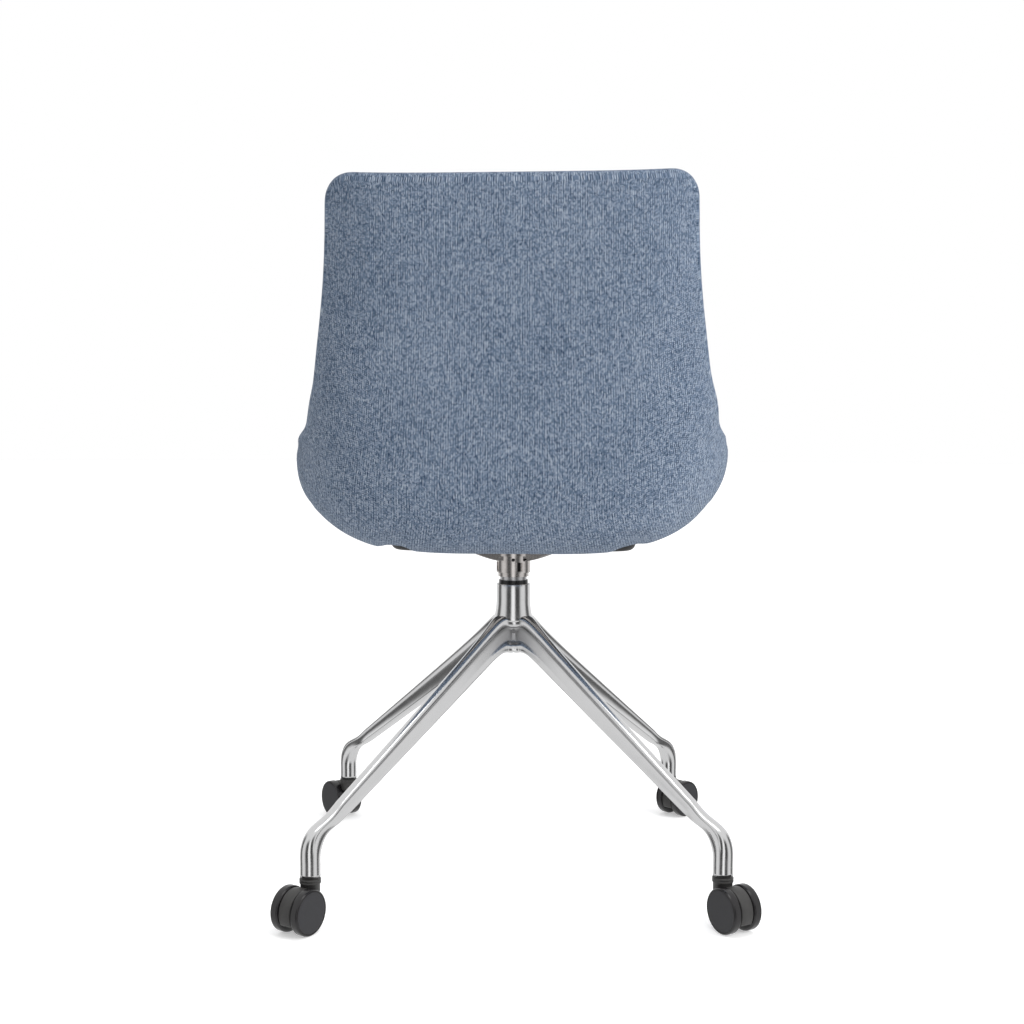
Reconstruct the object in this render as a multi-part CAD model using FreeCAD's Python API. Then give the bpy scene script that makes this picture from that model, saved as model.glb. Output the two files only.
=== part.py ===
import FreeCAD, Part
import math
import os
from FreeCAD import Vector

os.makedirs("parts", exist_ok=True)

# Swivel office chair: an upholstered one-piece shell on a cast four-leg base with castors.
# Millimetres. The origin is on the floor, on the swivel axis. +Z is up, the sitter faces -Y.

# ---------------------------------------------------------------- driving dimensions
# Shell
seat_underside = 402.0        # lowest line of the shell's outer skin, above the floor
seat_half_width = 260.5       # at the widest station
# Each station gives the outer skin's middle (y, rise above the underside), its edge (how much
# narrower than the widest, y, rise), how far round the section turns at the edge (degrees)
# and the padded thickness in the middle.
STATIONS = [
    # y_mid  rise_mid  narrower  y_edge  rise_edge  turn  thick
    (-236.0, 42.0, 50.5, -226.0, 61.0, 60.0, 30.0),    # front lip
    (-196.0, 20.0, 19.5, -186.0, 83.0, 80.0, 40.0),    # front of the seat
    (-100.0, 11.5, 4.5, -100.0, 112.0, 96.0, 47.0),    # thighs
    (10.0, 9.0, 0.0, -14.0, 131.0, 100.0, 49.0),       # middle of the seat
    (100.0, 0.0, 6.0, 62.0, 139.0, 96.0, 49.0),        # rear of the seat
    (166.0, 21.0, 22.0, 118.0, 151.0, 86.0, 44.0),     # bend
    (200.0, 85.0, 35.5, 158.0, 186.0, 72.0, 39.0),     # low back
    (218.0, 194.0, 46.0, 188.0, 254.0, 60.0, 36.0),    # lumbar
    (234.0, 314.0, 54.5, 208.0, 340.0, 52.0, 32.0),    # upper back
    (246.0, 415.0, 57.5, 222.0, 423.0, 48.0, 26.0),    # top edge
]
rim_thickness = 25.0          # the padded rim, measured through the shell
rim_share_power = 5           # how far out the middle's thickness holds before the rim's
section_power = 4.0           # how flat the middle of a section is
top_corner_radius = 34.0
front_corner_radius = 60.0
cover_thickness = 1.5         # upholstery fabric
rear_foam_thickness = 4.0
shell_thickness = 8.0         # moulded inner shell
layer_gap = 0.3               # between one layer and the next
shell_inset = 9.0             # moulded shell's edge, inside the fabric's edge
foam_inset = 2.0

# Under the seat
tray_half_width = 150.0
tray_front = -122.0
tray_rear = 60.0
tray_bottom = seat_underside - 1.0
tray_corner_radius = 34.0
tray_edge_radius = 9.0
arm_pad_x = 104.0             # spider arm ends, either side of the swivel axis
arm_pad_y = 36.0
arm_pad_radius = 14.0
arm_root_width = 24.0
arm_root_depth = 18.5         # below the arm's top, at the hub
arm_thickness = 4.5
arm_top = seat_underside + 3.5
arm_pocket_clearance = 0.4
seat_screw_radius = 3.0
seat_screw_hole_radius = 3.4
seat_screw_head_radius = 6.2
seat_screw_head_height = 3.2      # countersunk, flush with the arm's underside
seat_screw_socket_radius = 1.8
seat_screw_socket_depth = 2.2
countersink_clearance = 0.15
tee_nut_radius = 9.0
tee_nut_flange = 1.5
tee_nut_barrel_radius = 4.4
tee_nut_barrel_length = 5.0
tee_nut_sink = 0.6            # its flange, below the moulded shell's upper face

# Swivel, from the seat down
spindle_top = arm_top - 2.0
spindle_radius = 12.0
spindle_chamfer = 0.8
running_clearance = 0.05
hub_top = seat_underside - 10.0
hub_length = 26.0
hub_bottom = hub_top - hub_length
hub_radius = 21.0
hub_flange_radius = 24.0
hub_ring_radius = 19.0
hub_ring_height = 5.0
hub_window_count = 4
hub_window_width = 8.0
hub_window_height = 11.0
hub_window_depth = 2.2
hub_window_turn = 112.0       # first window, degrees from +X
grub_radius = 2.0
grub_length = 8.0
grub_socket_radius = 1.0
grub_socket_depth = 2.5
grub_height = hub_top - 4.5
grub_angles = (90.0, 130.0)
stack_gap = 0.3
thrust_washer_radius = 16.5
thrust_washer_thickness = 4.2
bush_radius = 15.0
bush_sleeve_length = 26.0
bush_flange_radius = 18.0
bush_flange_height = 4.5
column_radius = 21.0
column_top = hub_bottom - stack_gap - thrust_washer_thickness - bush_flange_height
column_bottom = 276.0
column_rim_radius = 1.0
skirt_spread = 6.0            # the column's flared root
skirt_height = 12.0
retainer_recess = 14.0
retainer_recess_clearance = 1.0
retainer_radius = 17.0
retainer_thickness = 3.0
retainer_screw_radius = 5.0
retainer_screw_length = 23.5
retainer_thread_depth = 25.0
retainer_hole_clearance = 0.3
retainer_head_radius = 8.5
retainer_head_height = 7.0
retainer_head_edge = 1.0
retainer_key_flat = 4.0       # hexagon socket, centre to flat
retainer_key_depth = 4.0

# Castors
wheel_radius = 25.0
wheel_width = 10.8
wheel_edge_radius = 2.2
wheel_rim_wall = 2.6          # raised edge round the wheel's outer face
wheel_dish_depth = 0.4
wheel_bore_wall = 2.5         # closed end of the axle's bore
castor_band = 15.4            # hood's middle band between the wheels
castor_side_gap = 0.8
castor_trail = 20.0
castor_axle_radius = 3.0
castor_axle_end_gap = 0.7
castor_axle_boss = 4.0        # hood's hub, outside the axle
hood_radius = wheel_radius - 1.0
hood_open_drop = 12.0         # hood's lower ends, below the axle
castor_neck_radius = 10.8
castor_neck_bottom = wheel_radius + 13.0
castor_collar_radius = 11.8
castor_collar_edge = 1.2
castor_collar_bottom = 2 * wheel_radius - 0.2
castor_collar_height = 6.0
castor_boss_radius = 9.5
castor_boss_height = 1.7
stem_radius = 5.5
stem_chamfer = 1.0
stem_reach_in_hood = 12.0
stem_reach_in_leg = 35.5
socket_radius = 8.0
socket_head_room = 1.0        # above the stem's end
grip_ring_height = 4.0
grip_ring_wall = 0.9
grip_ring_drop = 12.0         # below the top of the socket
grip_ring_clearance = 0.1
grip_groove_clearance = 0.2
grip_slot = 1.6
# Resting heading of each castor: the way from its stem to its axle, degrees from +X
castor_headings = {"rear_left": 59.0, "rear_right": 121.0, "front_left": 308.0, "front_right": 224.3}

# Base
base_turn = 2.3               # how far the base is turned under the seat at rest, degrees
leg_angles = {"rear_left": 45.0, "rear_right": 135.0, "front_right": 225.0, "front_left": 315.0}
leg_reach = 321.0             # castor stems, from the swivel axis
leg_foot_radius = 11.3
leg_foot_bottom = castor_collar_bottom + castor_collar_height + castor_boss_height + layer_gap
socket_top = leg_foot_bottom + stem_reach_in_leg + socket_head_room
leg_width = 19.0
bead_width = 12.5
knee_run = 35.0               # from the start of the knee to the castor stem
ridge_root = 333.8            # a leg's top line, carried on to the swivel axis
ridge_knee = 64.1             # the same line above the foot's bottom, at the knee
ridge_knee_out = 10.0         # that point, outside the start of the knee
ridge_knee_round = 1.0        # how much the knee already rounds off there
belly_root = 289.7            # a leg's underside, carried on to the swivel axis
belly_knee = 52.1
leg_root_ridge = (13.0, 6.0)  # first section: distance from the axis, lift above the line
leg_root_belly = (6.0, 2.0)
leg_stations = (34.0, 90.0, 160.0, 230.0, 276.0)
# Knee and foot: how far the ridge lies inside the foot's outer side and above its bottom, the
# same for the belly and the inner side, half widths as shares of the foot's radius, roundness
KNEE = [
    (7.5, 46.0, 6.0, 38.5, 0.75, 0.84, 0.5),
    (0.6, 30.5, 0.6, 24.5, 0.93, 0.93, 0.85),
    (0.0, 14.5, 0.0, 13.5, 1.0, 1.0, 1.0),
    (0.0, 0.0, 0.0, 0.0, 1.0, 1.0, 1.0),
]

UP = Vector(0, 0, 1)
AXIS = Vector(0, 0, 0)


# ---------------------------------------------------------------- helpers
def save(shape, name):
    solids = shape.Solids
    shape = solids[0] if len(solids) == 1 else Part.makeCompound(solids)
    if not shape.isValid():
        print("not valid:", name)
    shape.exportStep("parts/%s.step" % name)
    box = shape.BoundBox
    print("%-24s solids %d  volume %9.0f  z %.1f..%.1f" % (name, len(solids), shape.Volume, box.ZMin, box.ZMax))


def disc(radius, bottom, height, at=AXIS):
    return Part.makeCylinder(radius, height, Vector(at.x, at.y, bottom))


def ring(outer, inner, bottom, height, at=AXIS):
    return disc(outer, bottom, height, at).cut(disc(inner, bottom - 1, height + 2, at))


def turned(shape, degrees, centre=AXIS, axis=UP):
    copy = shape.copy()
    copy.rotate(centre, axis, degrees)
    return copy


def natural_spline(knots, values):
    """Second derivatives of the natural cubic spline through the values."""
    n = len(knots)
    upper, right = [0.0] * n, [0.0] * n
    for i in range(1, n - 1):
        before, after = knots[i] - knots[i - 1], knots[i + 1] - knots[i]
        slope = (values[i + 1] - values[i]) / after - (values[i] - values[i - 1]) / before
        pivot = 2.0 * (before + after) - before * upper[i - 1]
        upper[i] = after / pivot
        right[i] = (6.0 * slope - before * right[i - 1]) / pivot
    bend = [0.0] * n
    for i in range(n - 2, 0, -1):
        bend[i] = right[i] - upper[i] * bend[i + 1]
    return bend


def spline_value(knots, values, bend, s):
    i = 0
    while i < len(knots) - 2 and s > knots[i + 1]:
        i += 1
    step = knots[i + 1] - knots[i]
    a, b = (knots[i + 1] - s) / step, (s - knots[i]) / step
    curve = ((a ** 3 - a) * bend[i] + (b ** 3 - b) * bend[i + 1]) * step * step / 6.0
    return a * values[i] + b * values[i + 1] + curve


# ---------------------------------------------------------------- shell surface
KNOTS = [0.0]
for before, after in zip(STATIONS, STATIONS[1:]):
    KNOTS.append(KNOTS[-1] + math.hypot(after[0] - before[0], after[1] - before[1]))
PROFILE_LENGTH = KNOTS[-1]
SHAPED = [(y_mid, seat_underside + rise_mid, seat_half_width - narrower, y_edge, seat_underside + rise_edge,
           turn, thick) for y_mid, rise_mid, narrower, y_edge, rise_edge, turn, thick in STATIONS]
COLUMNS = [[row[k] for row in SHAPED] for k in range(7)]
BENDS = [natural_spline(KNOTS, column) for column in COLUMNS]


def station(s):
    """Middle y and z, edge x, y and z, turn and thickness, s mm along the shell's middle."""
    return [spline_value(KNOTS, COLUMNS[k], BENDS[k], s) for k in range(7)]


def skin_point(t, s):
    """Outer skin: t runs -1..1 across the shell, s runs along its middle, in mm."""
    y_mid, z_mid, x_edge, y_edge, z_edge, turn, _ = station(s)
    across = abs(t)
    angle = math.radians(turn)
    swing = angle * across ** (section_power / 2.0)
    width = (math.sin(swing) / math.sin(angle)) ** (2.0 / section_power) if across > 0 else 0.0
    rise = (1.0 - math.cos(swing)) / (1.0 - math.cos(angle))
    x = math.copysign(x_edge * width, t)
    return Vector(x, y_mid + (y_edge - y_mid) * rise, z_mid + (z_edge - z_mid) * rise)


def skin_normal(t, s):
    """Unit normal of the outer skin, towards the sitter."""
    dt, ds = 1e-3, 0.5
    s_low, s_high = max(0.0, s - ds), min(PROFILE_LENGTH, s + ds)
    across = skin_point(t + dt, s) - skin_point(t - dt, s)
    along = skin_point(t, s_high) - skin_point(t, s_low)
    return along.cross(across).normalize() * -1.0


def padded_thickness(t, s):
    thick = station(s)[6]
    return rim_thickness + (thick - rim_thickness) * (1.0 - abs(t) ** rim_share_power)


def corner_share(s, inset):
    """Share of the width left where the shell's outline rounds off at its two ends."""
    share = 1.0
    ends = ((s - inset, front_corner_radius - inset), (PROFILE_LENGTH - inset - s, top_corner_radius - inset))
    x_edge = station(s)[2]
    for distance, radius in ends:
        if distance < radius:
            lost = radius - math.sqrt(max(0.0, radius ** 2 - (radius - distance) ** 2))
            share = min(share, 1.0 - lost / (x_edge - inset))
    return share * (1.0 - inset / x_edge)


def along_steps(inset, count):
    """Stations of the skin's grid, closer together where the corners round off."""
    front_end = front_corner_radius
    rear_end = PROFILE_LENGTH - top_corner_radius
    steps = []
    corner_count = 5
    for k in range(corner_count):
        angle = math.pi / 2 * k / corner_count
        steps.append(inset + (front_corner_radius - inset) * (1 - math.cos(angle)))
    for k in range(count + 1):
        steps.append(front_end + (rear_end - front_end) * k / count)
    for k in range(1, corner_count + 1):
        angle = math.pi / 2 * k / corner_count
        steps.append(rear_end + (top_corner_radius - inset) * math.sin(angle))
    return steps


def offset_surface(depth, inset, across_count=24, along_count=22):
    """B-spline skin at a depth below the outer skin; depth is a number or a function of (t, s)."""
    grid = []
    for s in along_steps(inset, along_count):
        share = corner_share(s, inset)
        line = []
        for k in range(across_count + 1):
            t = share * (2.0 * k / across_count - 1.0)
            d = depth(t, s) if callable(depth) else depth
            line.append(skin_point(t, s) + skin_normal(t, s) * d)
        grid.append(line)
    surface = Part.BSplineSurface()
    surface.interpolate(grid)
    return surface


def layer(low, high, inset):
    """Closed solid between two depths of the shell."""
    under, over = offset_surface(low, inset), offset_surface(high, inset)
    faces = [under.toShape(), over.toShape()]
    u0, u1, v0, v1 = under.bounds()
    a0, a1, b0, b1 = over.bounds()
    pairs = [(under.uIso(u0), over.uIso(a0)), (under.uIso(u1), over.uIso(a1)),
             (under.vIso(v0), over.vIso(b0)), (under.vIso(v1), over.vIso(b1))]
    for first, second in pairs:
        faces.append(Part.makeRuledSurface(first.toShape(), second.toShape()))
    shell = Part.makeShell(faces)
    shell.sewShape()
    solid = Part.makeSolid(shell)
    if solid.Volume < 0:
        solid.reverse()
    return solid


rear_foam_low = cover_thickness + layer_gap
shell_low = rear_foam_low + rear_foam_thickness + layer_gap
foam_low = shell_low + shell_thickness + layer_gap


def front_cover_low(t, s):
    return padded_thickness(t, s) - cover_thickness


def foam_high(t, s):
    return front_cover_low(t, s) - layer_gap


def skin_place(x, y):
    """The (t, s) of the seat's underside at a plan position."""
    t, s = x / station(y - STATIONS[0][0])[2], y - STATIONS[0][0]
    for _ in range(40):
        point = skin_point(t, s)
        t += (x - point.x) / station(s)[2]
        s += y - point.y
    return t, s


def skin_height(x, y):
    return skin_point(*skin_place(x, y)).z


PADS = [Vector(sx * arm_pad_x, sy * arm_pad_y, 0) for sx in (1, -1) for sy in (1, -1)]


def drilled(shape, radius, low, high):
    """Four vertical holes at the spider's arm ends."""
    for pad in PADS:
        shape = shape.cut(disc(radius, low, high - low, pad))
    return shape


def tee_nut_seat(pad):
    """Height of the face that a tee nut's flange sits on, on top of the moulded shell."""
    return skin_height(pad.x, pad.y) + shell_low + shell_thickness - tee_nut_sink


def build_shell():
    low, high = tray_bottom - 10, tray_bottom + 60
    rear_cover = drilled(layer(0.0, cover_thickness, 0.0), seat_screw_hole_radius, low, high)
    rear_foam = drilled(layer(rear_foam_low, rear_foam_low + rear_foam_thickness, foam_inset),
                        seat_screw_hole_radius, low, high)
    shell = layer(shell_low, shell_low + shell_thickness, shell_inset)
    foam = layer(foam_low, foam_high, foam_inset)
    for pad in PADS:
        seat = tee_nut_seat(pad)
        shell = shell.cut(disc(tee_nut_barrel_radius + layer_gap, low, high - low, pad))
        shell = shell.cut(disc(tee_nut_radius + layer_gap, seat, 30, pad))
        foam = foam.cut(disc(tee_nut_radius + layer_gap, seat - 10, 10 + tee_nut_flange + layer_gap, pad))
    save(rear_cover, "rear_cover")
    save(rear_foam, "rear_foam")
    save(shell, "seat_shell")
    save(foam, "seat_foam")
    save(layer(front_cover_low, padded_thickness, 0.0), "front_cover")


# ---------------------------------------------------------------- under the seat
def rounded_block(half_x, front, rear, bottom, top, corner, edge):
    block = Part.makeBox(2 * half_x, rear - front, top - bottom, Vector(-half_x, front, bottom))
    uprights = [e for e in block.Edges if abs(e.BoundBox.ZLength - (top - bottom)) < 1e-3]
    block = block.makeFillet(corner, uprights)
    lower = [e for e in block.Edges if e.BoundBox.ZMax < bottom + 1e-3]
    return block.makeFillet(edge, lower)


def arm_outline(grow, low, high):
    """The spider's four arms seen from below, as a prism between two heights."""
    prism = None
    for side in (1, -1):
        for end in (1, -1):
            tip = Vector(side * arm_pad_x, end * arm_pad_y, 0)
            length = math.hypot(tip.x, tip.y)
            heading = math.degrees(math.atan2(tip.y, tip.x))
            root, nose = arm_root_width / 2 + grow, arm_pad_radius + grow
            corners = [Vector(0, -root, low), Vector(length, -nose, low), Vector(length, nose, low),
                       Vector(0, root, low)]
            plate = Part.Face(Part.makePolygon(corners + corners[:1])).extrude(UP * (high - low))
            arm = turned(plate, heading).fuse(disc(nose, low, high - low, tip))
            prism = arm if prism is None else prism.fuse(arm)
    return prism


def build_tray():
    tray = rounded_block(tray_half_width, tray_front, tray_rear, tray_bottom, tray_bottom + 40,
                         tray_corner_radius, tray_edge_radius)
    tray = tray.cut(layer(-layer_gap, 60.0, 0.0))
    tray = tray.cut(arm_outline(arm_pocket_clearance, tray_bottom - 5, arm_top + layer_gap))
    room = hub_flange_radius + arm_pocket_clearance
    tray = tray.cut(disc(room, tray_bottom - 5, arm_top + layer_gap - tray_bottom + 5))
    tray = drilled(tray, seat_screw_hole_radius, tray_bottom - 1, tray_bottom + 60)
    save(max(tray.Solids, key=lambda solid: solid.Volume), "under_tray")


def arm_side_profile():
    """Side view of one arm, from the swivel axis outwards: deep at the hub, thin at the pad."""
    reach = math.hypot(arm_pad_x, arm_pad_y) + arm_pad_radius + 1
    thin, deep = arm_top - arm_thickness, arm_top - arm_root_depth
    shoulder = Vector(0.72 * reach, 0, thin - 0.6)
    curve = Part.BSplineCurve()
    curve.interpolate([shoulder, Vector(0.45 * reach, 0, thin - 4.0), Vector(hub_radius, 0, deep),
                       Vector(0, 0, deep - 1)])
    corners = [Vector(0, 0, deep - 1), Vector(0, 0, arm_top), Vector(reach, 0, arm_top),
               Vector(reach, 0, thin), shoulder]
    return Part.Face(Part.Wire([curve.toShape()] + list(Part.makePolygon(corners).Edges)))


def build_spider():
    arms = arm_outline(0.0, arm_top - arm_root_depth - 5, arm_top)
    envelope = None
    for pad in PADS:
        side = arm_side_profile()
        width = 2 * (arm_pad_radius + 4)
        side.translate(Vector(0, -width / 2, 0))
        prism = turned(side.extrude(Vector(0, width, 0)), math.degrees(math.atan2(pad.y, pad.x)))
        envelope = prism if envelope is None else envelope.fuse(prism)
    arms = arms.common(envelope)
    sleeve = disc(hub_radius, hub_bottom + hub_ring_height, hub_top - hub_bottom - hub_ring_height)
    collar = disc(hub_ring_radius, hub_bottom, hub_ring_height + 1)
    hub = sleeve.fuse([collar, disc(hub_flange_radius, hub_top, arm_top - hub_top)])
    for k in range(hub_window_count):
        window = Part.makeBox(hub_window_depth + 5, hub_window_width, hub_window_height,
                              Vector(hub_radius - hub_window_depth, -hub_window_width / 2,
                                     hub_bottom + hub_ring_height + 2))
        hub = hub.cut(turned(window, hub_window_turn + 360.0 * k / hub_window_count))
    spider = arms.fuse(hub).removeSplitter()
    spider = spider.cut(disc(spindle_radius, hub_bottom - 1, spindle_top - hub_bottom + 1))
    spider = drilled(spider, seat_screw_hole_radius, arm_top - arm_root_depth, arm_top + 1)
    for pad in PADS:
        spider = spider.cut(countersunk_head(pad, countersink_clearance))
    for angle in grub_angles:
        spider = spider.cut(turned(grub_screw(grub_radius, grub_length + 5), angle))
    save(spider, "spider")


def grub_screw(radius, length):
    """A screw lying along +X with its inner end just clear of the spindle."""
    return Part.makeCylinder(radius, length, Vector(spindle_radius, 0, grub_height), Vector(1, 0, 0))


def countersunk_head(pad, grow):
    """Conical head with its wide face on the arm's underside."""
    low = arm_top - arm_thickness
    return Part.makeCone(seat_screw_head_radius + grow, seat_screw_radius + grow, seat_screw_head_height,
                         Vector(pad.x, pad.y, low))


def build_seat_fasteners():
    screws, nuts, grubs = [], [], []
    low = arm_top - arm_thickness
    for pad in PADS:
        seat = tee_nut_seat(pad)
        shank = disc(seat_screw_radius, low + 1.0, seat + tee_nut_flange - low - 1.0, pad)
        socket = disc(seat_screw_socket_radius, low - 1, seat_screw_socket_depth + 1, pad)
        screws.append(countersunk_head(pad, 0.0).fuse(shank).cut(socket))
        nut = disc(tee_nut_radius, seat, tee_nut_flange, pad)
        nut = nut.fuse(disc(tee_nut_barrel_radius, seat - tee_nut_barrel_length, tee_nut_barrel_length, pad))
        nuts.append(nut.cut(disc(seat_screw_radius + running_clearance, seat - 10, 20, pad)))
    for angle in grub_angles:
        screw = grub_screw(grub_radius - running_clearance, grub_length)
        socket_at = Vector(spindle_radius + grub_length - grub_socket_depth, 0, grub_height)
        socket = Part.makeCylinder(grub_socket_radius, grub_socket_depth + 1, socket_at, Vector(1, 0, 0))
        grubs.append(turned(screw.cut(socket), angle))
    save(Part.makeCompound(screws), "seat_screws")
    save(Part.makeCompound(nuts), "tee_nuts")
    save(Part.makeCompound(grubs), "hub_grub_screws")


# ---------------------------------------------------------------- swivel
def build_swivel():
    bore = spindle_radius + running_clearance
    upper = ring(bush_radius, bore, column_top - bush_sleeve_length, bush_sleeve_length + 0.1)
    upper = upper.fuse(ring(bush_flange_radius, bore, column_top, bush_flange_height)).removeSplitter()
    save(upper, "upper_bush")
    recess_top = column_bottom + retainer_recess
    save(ring(bush_radius, bore, recess_top, bush_sleeve_length), "lower_bush")
    washer_bottom = column_top + bush_flange_height
    save(ring(thrust_washer_radius, bore, washer_bottom, thrust_washer_thickness), "thrust_washer")

    spindle = disc(spindle_radius, recess_top, spindle_top - recess_top)
    ends = [e for e in spindle.Edges if len(e.Vertexes) == 1]
    spindle = spindle.makeChamfer(spindle_chamfer, ends)
    spindle = spindle.cut(disc(retainer_screw_radius, recess_top - 1, retainer_thread_depth + 1))
    save(spindle, "spindle")
    head_top = recess_top - stack_gap - retainer_thickness
    hole = retainer_screw_radius + retainer_hole_clearance
    save(ring(retainer_radius, hole, head_top, retainer_thickness), "retaining_washer")
    head_bottom = head_top - retainer_head_height
    head = disc(retainer_head_radius, head_bottom, retainer_head_height)
    rim = [e for e in head.Edges if e.BoundBox.ZMax < head_bottom + 1e-3]
    shank = disc(retainer_screw_radius - running_clearance, head_top - 0.5, retainer_screw_length + 0.5)
    screw = head.makeFillet(retainer_head_edge, rim).fuse(shank)
    screw = screw.cut(hex_prism(retainer_key_flat, head_bottom - 1, retainer_key_depth + 1))
    save(screw, "retaining_screw")


def hex_prism(flat_radius, bottom, height):
    corner = flat_radius / math.cos(math.pi / 6)
    points = [Vector(corner * math.cos(math.pi / 3 * k), corner * math.sin(math.pi / 3 * k), bottom)
              for k in range(7)]
    return Part.Face(Part.makePolygon(points)).extrude(UP * height)


# ---------------------------------------------------------------- base
def line_height(r, root, knee, knee_at):
    """Height at r of a straight line from the swivel axis to the knee."""
    return root + (leg_foot_bottom + knee - root) * r / knee_at


def ridge_z(r):
    return line_height(r, ridge_root, ridge_knee, leg_reach - knee_run + ridge_knee_out)


def belly_z(r):
    return line_height(r, belly_root, belly_knee, leg_reach - knee_run)


def leg_section(top, bottom, half_top, half_bottom, roundness):
    """Closed outline between a top and a bottom point of the leg's vertical plane: a bead on top,
    a cove under it and a flared side, which a roundness of 1 turns into a plain rounded foot."""
    span = bottom - top
    depth = span.Length
    down = span * (1.0 / depth)
    side = Vector(0, 1, 0)
    neck = half_top * (0.80 + 0.20 * roundness)
    flare = (0.62 * neck + 0.38 * half_bottom) * (1 - roundness) + 0.99 * half_bottom * roundness
    low = half_bottom * (1 - 0.25 * roundness)
    bead_end = 0.30 + 0.20 * roundness

    def curve(*places):
        spline = Part.BSplineCurve()
        spline.interpolate([top + side * across + down * (depth * share) for across, share in places])
        return spline.toShape()

    bead = curve((neck, bead_end), (half_top, bead_end * 0.52), (half_top * 0.62, bead_end * 0.10), (0, 0),
                 (-half_top * 0.62, bead_end * 0.10), (-half_top, bead_end * 0.52), (-neck, bead_end))
    left = curve((-neck, bead_end), (-flare, 0.62), (-low, 0.86))
    under = curve((-low, 0.86), (-half_bottom * 0.62, 0.975), (0, 1), (half_bottom * 0.62, 0.975), (low, 0.86))
    right = curve((low, 0.86), (flare, 0.62), (neck, bead_end))
    return Part.Wire([bead, left, under, right])


def leg_spine():
    """Sections of a leg: ridge point, belly point, half widths and how round the section is."""
    half_bead, half_belly = bead_width / 2, leg_width / 2
    slope = math.atan((ridge_root + belly_root - ridge_z(1.0) - belly_z(1.0)) / 2)
    start = Vector(leg_root_ridge[0], 0, ridge_z(leg_root_ridge[0]) + leg_root_ridge[1])
    below = Vector(leg_root_belly[0], 0, column_bottom + leg_root_belly[1])
    rows = [(start, below, half_bead, half_belly, 0.0)]
    for r in leg_stations:
        foot = r - (ridge_z(r) - belly_z(r)) * math.sin(slope) * math.cos(slope)
        rows.append((Vector(r, 0, ridge_z(r)), Vector(foot, 0, belly_z(foot)), half_bead, half_belly, 0.0))
    knee = leg_reach - knee_run
    crown = Vector(knee + ridge_knee_out, 0, ridge_z(knee + ridge_knee_out) - ridge_knee_round)
    rows.append((crown, Vector(knee, 0, belly_z(knee)), half_bead * 1.1, half_belly, 0.2))
    outer, inner = leg_reach + leg_foot_radius, leg_reach - leg_foot_radius
    for top_in, top_up, belly_in, belly_up, half_top, half_bottom, roundness in KNEE:
        rows.append((Vector(outer - top_in, 0, leg_foot_bottom + top_up),
                     Vector(inner - belly_in, 0, leg_foot_bottom + belly_up),
                     leg_foot_radius * half_top, leg_foot_radius * half_bottom, roundness))
    return rows


def build_leg():
    return Part.makeLoft([leg_section(*row) for row in leg_spine()], True, False)


def build_base():
    leg = build_leg()
    column = disc(column_radius, column_bottom, column_top - column_bottom)
    rim = [e for e in column.Edges if len(e.Vertexes) == 1 and e.BoundBox.ZMin > column_top - 1e-3]
    column = column.makeFillet(column_rim_radius, rim)
    skirt = Part.makeCone(column_radius + skirt_spread, column_radius, skirt_height,
                          Vector(0, 0, column_bottom))
    base = column.fuse(skirt)
    for angle in leg_angles.values():
        base = base.fuse(turned(leg, angle + base_turn))
    base = base.cut(disc(bush_radius + running_clearance, column_bottom - 1, column_top - column_bottom + 2))
    recess_radius = retainer_radius + retainer_recess_clearance
    base = base.cut(disc(recess_radius, column_bottom - 1, retainer_recess + 1))
    for name in leg_angles:
        depth = socket_top + 3 - leg_foot_bottom
        base = base.cut(disc(socket_radius, leg_foot_bottom - 1, depth, stem_place(name)))
    save(base, "base_frame")


# ---------------------------------------------------------------- castors
def stem_place(name):
    angle = math.radians(leg_angles[name] + base_turn)
    return Vector(leg_reach * math.cos(angle), leg_reach * math.sin(angle), 0)


def build_stems():
    sockets, stems, grips = [], [], []
    groove = socket_top - grip_ring_drop
    stem_bottom = castor_collar_bottom - stem_reach_in_hood
    for name in leg_angles:
        place = stem_place(name)
        sleeve = ring(socket_radius, stem_radius + running_clearance, leg_foot_bottom,
                      socket_top - leg_foot_bottom, place)
        room = disc(stem_radius + grip_ring_wall, groove - grip_groove_clearance,
                    grip_ring_height + 2 * grip_groove_clearance, place)
        sockets.append(sleeve.cut(room))
        stem = disc(stem_radius, stem_bottom, socket_top - socket_head_room - stem_bottom, place)
        ends = [e for e in stem.Edges if len(e.Vertexes) == 1]
        stem = stem.makeChamfer(stem_chamfer, ends)
        stems.append(stem.cut(ring(stem_radius + 2, stem_radius - stem_chamfer, groove - grip_ring_clearance,
                                   grip_ring_height + 2 * grip_ring_clearance, place)))
        grip = ring(stem_radius + grip_ring_wall - grip_ring_clearance,
                    stem_radius - stem_chamfer + grip_ring_clearance, groove, grip_ring_height, place)
        slot = Part.makeBox(2 * socket_radius, grip_slot, 2 * grip_ring_height,
                            place + Vector(0, -grip_slot / 2, groove - grip_ring_height / 2))
        grips.append(grip.cut(slot))
    save(Part.makeCompound(sockets), "castor_sockets")
    save(Part.makeCompound(stems), "castor_stems")
    save(Part.makeCompound(grips), "grip_rings")


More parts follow.
